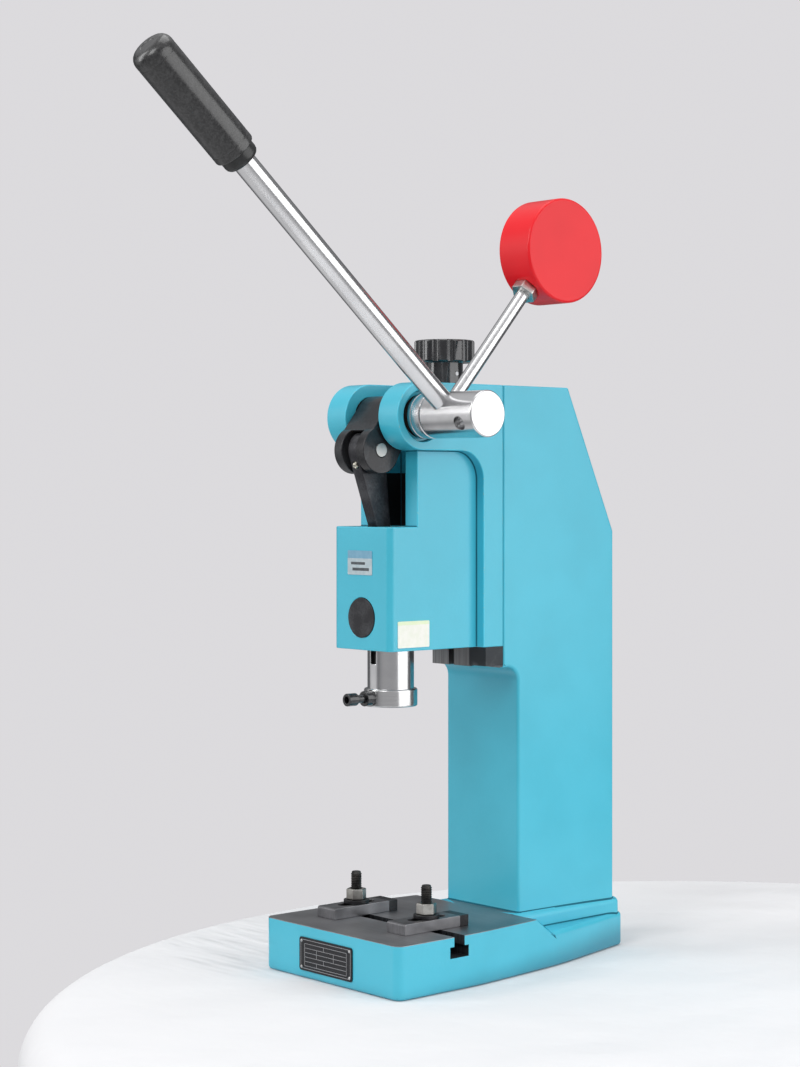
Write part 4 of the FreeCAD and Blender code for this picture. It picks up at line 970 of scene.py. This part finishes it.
def round_ram():
    """The ground ram, its keyway coloured near black."""
    bm = merged("ram")
    broken(bm, 0.4, 2)
    key_half, key_y, key_radius = 3.1, -12, 16.6
    for face in bm.faces:
        c = face.calc_center_median()
        if inside(c, x=(-key_half, key_half), y=(-FAR, key_y)) and off_z(c) < key_radius * MM:
            face.material_index = 1
    piece("round_ram", bm, "ram", "machined_steel", [ram_ground(), keyway_dark()], "ram")


# The clamps.

def threaded(low, high, crest, root, pitch):
    """Half a profile of thread rings from low to high, in millimetres."""
    points, z = [(0, low), (root, low)], low + 0.4
    while z + pitch < high - 0.4:
        points += [(root, z), (crest, z + 0.42 * pitch), (crest, z + 0.58 * pitch),
                   (root, z + pitch)]
        z += pitch
    return points + [(root, z), (root, high - 0.5), (root - 0.5, high), (0, high)]


def stud(side):
    """A T-bolt: square head in the slot and a threaded stud."""
    node = side + "_t_bolt"
    low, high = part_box(node)
    x, half = (low.x + high.x) / 2, (high.x - low.x) / 2
    head_height, shank_start = 6.5, 6
    head = slab((x - half, -half, low.z), (x + half, half, low.z + head_height * MM))
    bevelled(head, head.edges[:], 0.5, 2, clamp=True)
    profile = threaded(low.z / MM + shank_start, high.z / MM, crest=4.0, root=3.4, pitch=1.25)
    shank = lathe(profile, 40)
    bm = joined(head, placed(shank, Matrix.Translation((x, 0, 0))))
    piece(side + "_slot_bolt", bm, side + "_clamp", "clamp_steel", [stud_blacked()], node)


def hexagon_nut(side):
    """A hexagon nut with its corners turned off top and bottom."""
    low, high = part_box(side + "_nut")
    x, across_flats, slack = (low.x + high.x) / 2, 13, 0.3
    bm = merged(side + "_nut")
    reach = (across_flats / math.sqrt(3) - slack) * MM
    corners = {v for v in bm.verts if math.hypot(v.co.x - x, v.co.y) > reach}
    rims = [e for e in bm.edges if corners.issuperset(e.verts)
            and abs(e.verts[0].co.z - e.verts[1].co.z) < LEVEL]
    bevelled(bm, rims, 0.75, 2)
    broken(bm, 0.2, 1)
    piece(side + "_clamp_nut", bm, side + "_clamp", "clamp_steel", [NUT], side + "_nut")


# The room.

def cloth_table():
    """A round table under a white cloth, creased a little beside the press."""
    made, place = begin("table_cloth")
    pulled = place.about((-0.12, 0.02, 0))
    near = pulled.facing(pulled).rise(0.0, 0.022) * -1.0 + 1.0
    crease = place.about(turned=(0, 0, 62), stretch=(9, 34, 1)).noise(1.0, 2.0, 0.6)
    folds = (place.noise(5.0, 2.0) * 1.6 + place.noise(16.0, 3.0) * 0.3
             + crease.rise(0.35, 0.65) * near * 0.22)
    shade = place.add("BsdfDiffuse", {}, {"Color": tone(0.80, 0.80, 0.81),
                                          "Normal": folds.bump(0.010)})
    place.add("OutputMaterial", {}, {"Surface": shade})
    flat, bend = 470, 30
    edge = [(flat + bend * math.sin(a), -bend + bend * math.cos(a))
            for a in [math.radians(10 * k) for k in range(10)]]
    bm = lathe([(0, 0), (60, 0), (200, 0), (380, 0)] + edge + [(502, -300), (504, -700)], 160)
    placed(bm, Matrix.Translation((0.23, 0.13, -0.0002)))
    for face in bm.faces:
        face.smooth = True
        if face.normal.z < -0.5:
            face.normal_flip()
    table = meshed("cloth_table", bm, [made])


def pale_world():
    """The studio: pale behind the press; its reflections see pale cloth above, below and at the
    operator's left, grey round the camera and dark elsewhere."""
    camera_side, left_side = (0.755, -0.656, 0.0), (-0.743, -0.669, 0.0)
    world = bpy.data.worlds.new("studio")
    bpy.context.scene.world = world
    world.use_nodes = True
    world.node_tree.nodes.clear()
    sky = Wire(world.node_tree)
    path = sky.add("LightPath", {}, {}).socket.node
    seen = sky.math("MAXIMUM", Wire(sky.tree, path.outputs["Is Camera Ray"]),
                    Wire(sky.tree, path.outputs["Is Transmission Ray"]))
    way = sky.add("TexCoord", {}, {}, "Generated")
    room = way.facing(camera_side).rise(0.25, 0.85).blend(tone(0.13, 0.133, 0.14),
                                                          tone(0.42, 0.42, 0.43))
    room = way.facing(left_side).rise(0.84, 0.97).blend(room, tone(0.68, 0.68, 0.69))
    up = way.parts()[2]
    room = up.math("ABSOLUTE", up).rise(0.32, 0.75).blend(room, tone(0.66, 0.66, 0.67))
    lit = sky.add("Background", {}, {"Color": room, "Strength": 1.0})
    shown = sky.add("Background", {}, {"Color": tone(0.715, 0.705, 0.725), "Strength": 1.0})
    mixed = sky.add("MixShader", {}, {0: seen, 1: lit, 2: shown})
    sky.add("OutputWorld", {}, {"Surface": mixed})


def softbox(name, place, aim, width, height, power):
    """A white rectangular lamp that faces a point."""
    lamp = bpy.data.lights.new(name, "AREA")
    lamp.shape, lamp.size, lamp.size_y, lamp.energy = "RECTANGLE", width, height, power
    made = linked(name, lamp)
    made.location = place
    made.rotation_euler = (Vector(aim) - Vector(place)).to_track_quat("-Z", "Y").to_euler()


def camera():
    """The camera, level and a little above the table, with its picture shifted down."""
    lens = bpy.data.cameras.new("camera")
    lens.sensor_fit, lens.sensor_width, lens.lens = "HORIZONTAL", 36.0, 100.7
    lens.shift_y = -0.0556
    lens.clip_start, lens.clip_end = 0.05, 50.0
    made = linked("camera", lens)
    made.location = (1.2332, -1.0706, 0.3532)
    made.rotation_euler = (math.radians(90), 0, math.radians(48.8))
    bpy.context.scene.camera = made


# Finishes that several pieces share.

ENAMEL = casting_enamel()
EDGE_WEAR_AND_HIGHLIGHT = casting_edge_wear_and_highlight()
CORNER_SHADE = casting_corner_shade()
SCREW = screw_blacked()
CLAMP = clamp_ground()
NUT = clamp_nut_steel()
HEEL = heel_blacked()
WASHER = washer_blacked()
BRONZE = bush_bronze()
BUSH_SHADE = bush_painted_shade()
PLATED = small_screw_plated()
LABEL_PRINT = label_print()

# The pieces.

base_casting()
nameplate()
rivets()
head_casting()
label("front_blank_label", "front_label", "head", "y", front_label_film(), front_label_band(),
      0.68, [(0.14, 0.72, 0.42, 0.53), (0.20, 0.88, 0.17, 0.29)])
label("side_blank_label", "side_label", "head", "x", side_label_film(), side_label_band(), 0.86)
trimmed("gib_strip", "gib", "head", "clamp_steel", gib_blacked(), 0.4, 2)
trimmed("housing_plug", "guide_plug", "head", "black_steel", plug_blacked(), 0.5, 3)
trimmed("locking_screws", "head_lock_screws", "head", "black_steel", SCREW, 0.35, 2)
knob()
trimmed("shaft_and_hub", "main_shaft", "crankshaft", "machined_steel", hub_turned(), 0.35, 2)
collar()
trimmed("forked_crank", "crank_arm", "crankshaft", "black_steel", crank_blacked(), 0.7, 3)
trimmed("crank_fork_pin", "crank_pin", "crankshaft", "polished_steel", crank_pin_ground(), 0.35, 2)
lever()
grip()
balance()
trimmed("shaft_end_cap", "end_cap", "crankshaft", "black_steel", end_cap_blacked(), 0.3, 2)
trimmed("shaft_end_screw", "end_cap_screw", "crankshaft", "black_steel", SCREW, 0.35, 2)
trimmed("toggle_arm", "toggle_link", "link", "black_steel", link_blacked(), 0.8, 3)
oiler()
round_ram()
trimmed("nose_ring", "nose_collar", "ram", "machined_steel", nose_turned(), 0.35, 2)
trimmed("tool_screw", "tool_clamp_screw", "ram", "black_steel", tool_screw_blacked(), 0.5, 2)
trimmed("tool_lock_nut", "clamp_lock_nut", "ram", "black_steel", tool_screw_blacked(), 0.6, 2)
for side in ("left", "right"):
    clamp, strap = side + "_clamp", side + "_strap"
    trimmed(clamp + "_strap", strap, strap, "clamp_steel", CLAMP, 0.4, 2)
    trimmed(side + "_heel_block", side + "_heel", strap, "black_steel", HEEL, 0.4, 2)
    trimmed(clamp + "_washer", side + "_washer", clamp, "clamp_steel", WASHER, 0.4, 2)
    stud(side)
    hexagon_nut(side)

# CAD nodes that keep their shape and only take a finish.

PLAIN = {
    "slide_rail": rail_ground(), "rail_screws": SCREW, "lift_nut": lift_nut_milled(),
    "lift_nut_screws": SCREW, "shaft_bush_left": BUSH_SHADE, "shaft_bush_right": BUSH_SHADE,
    "thrust_bush": BRONZE, "gib_screws": SCREW, "ram_guide_pin": guide_pin_steel(),
    "lead_screw": lead_screw_rolled(), "knob_pin": knob_pin_steel(), "crank_key": key_steel(),
    "link_bush": BRONZE, "ram_pin": ram_pin_hardened(), "left_heel_pin": PLATED,
    "right_heel_pin": PLATED,
}
for node, finish in PLAIN.items():
    mesh = NODES[node].data
    mesh.materials.clear()
    mesh.materials.append(finish)

# The room and the camera.

cloth_table()
pale_world()
softbox("side_box", (1.85, 0.80, 0.75), (0.0, 0.05, 0.28), 2.3, 1.7, 28)
softbox("key_box", (0.5, -1.95, 1.6), (0, 0, 0.25), 1.0, 1.0, 15)
softbox("fill_box", (-1.05, -1.65, 1.2), (0, 0, 0.25), 0.7, 1.6, 15)
softbox("top_box", (0.1, 0.1, 1.9), (0, 0.05, 0.2), 1.2, 1.2, 8)
camera()
bpy.context.scene.view_settings.view_transform = "Standard"
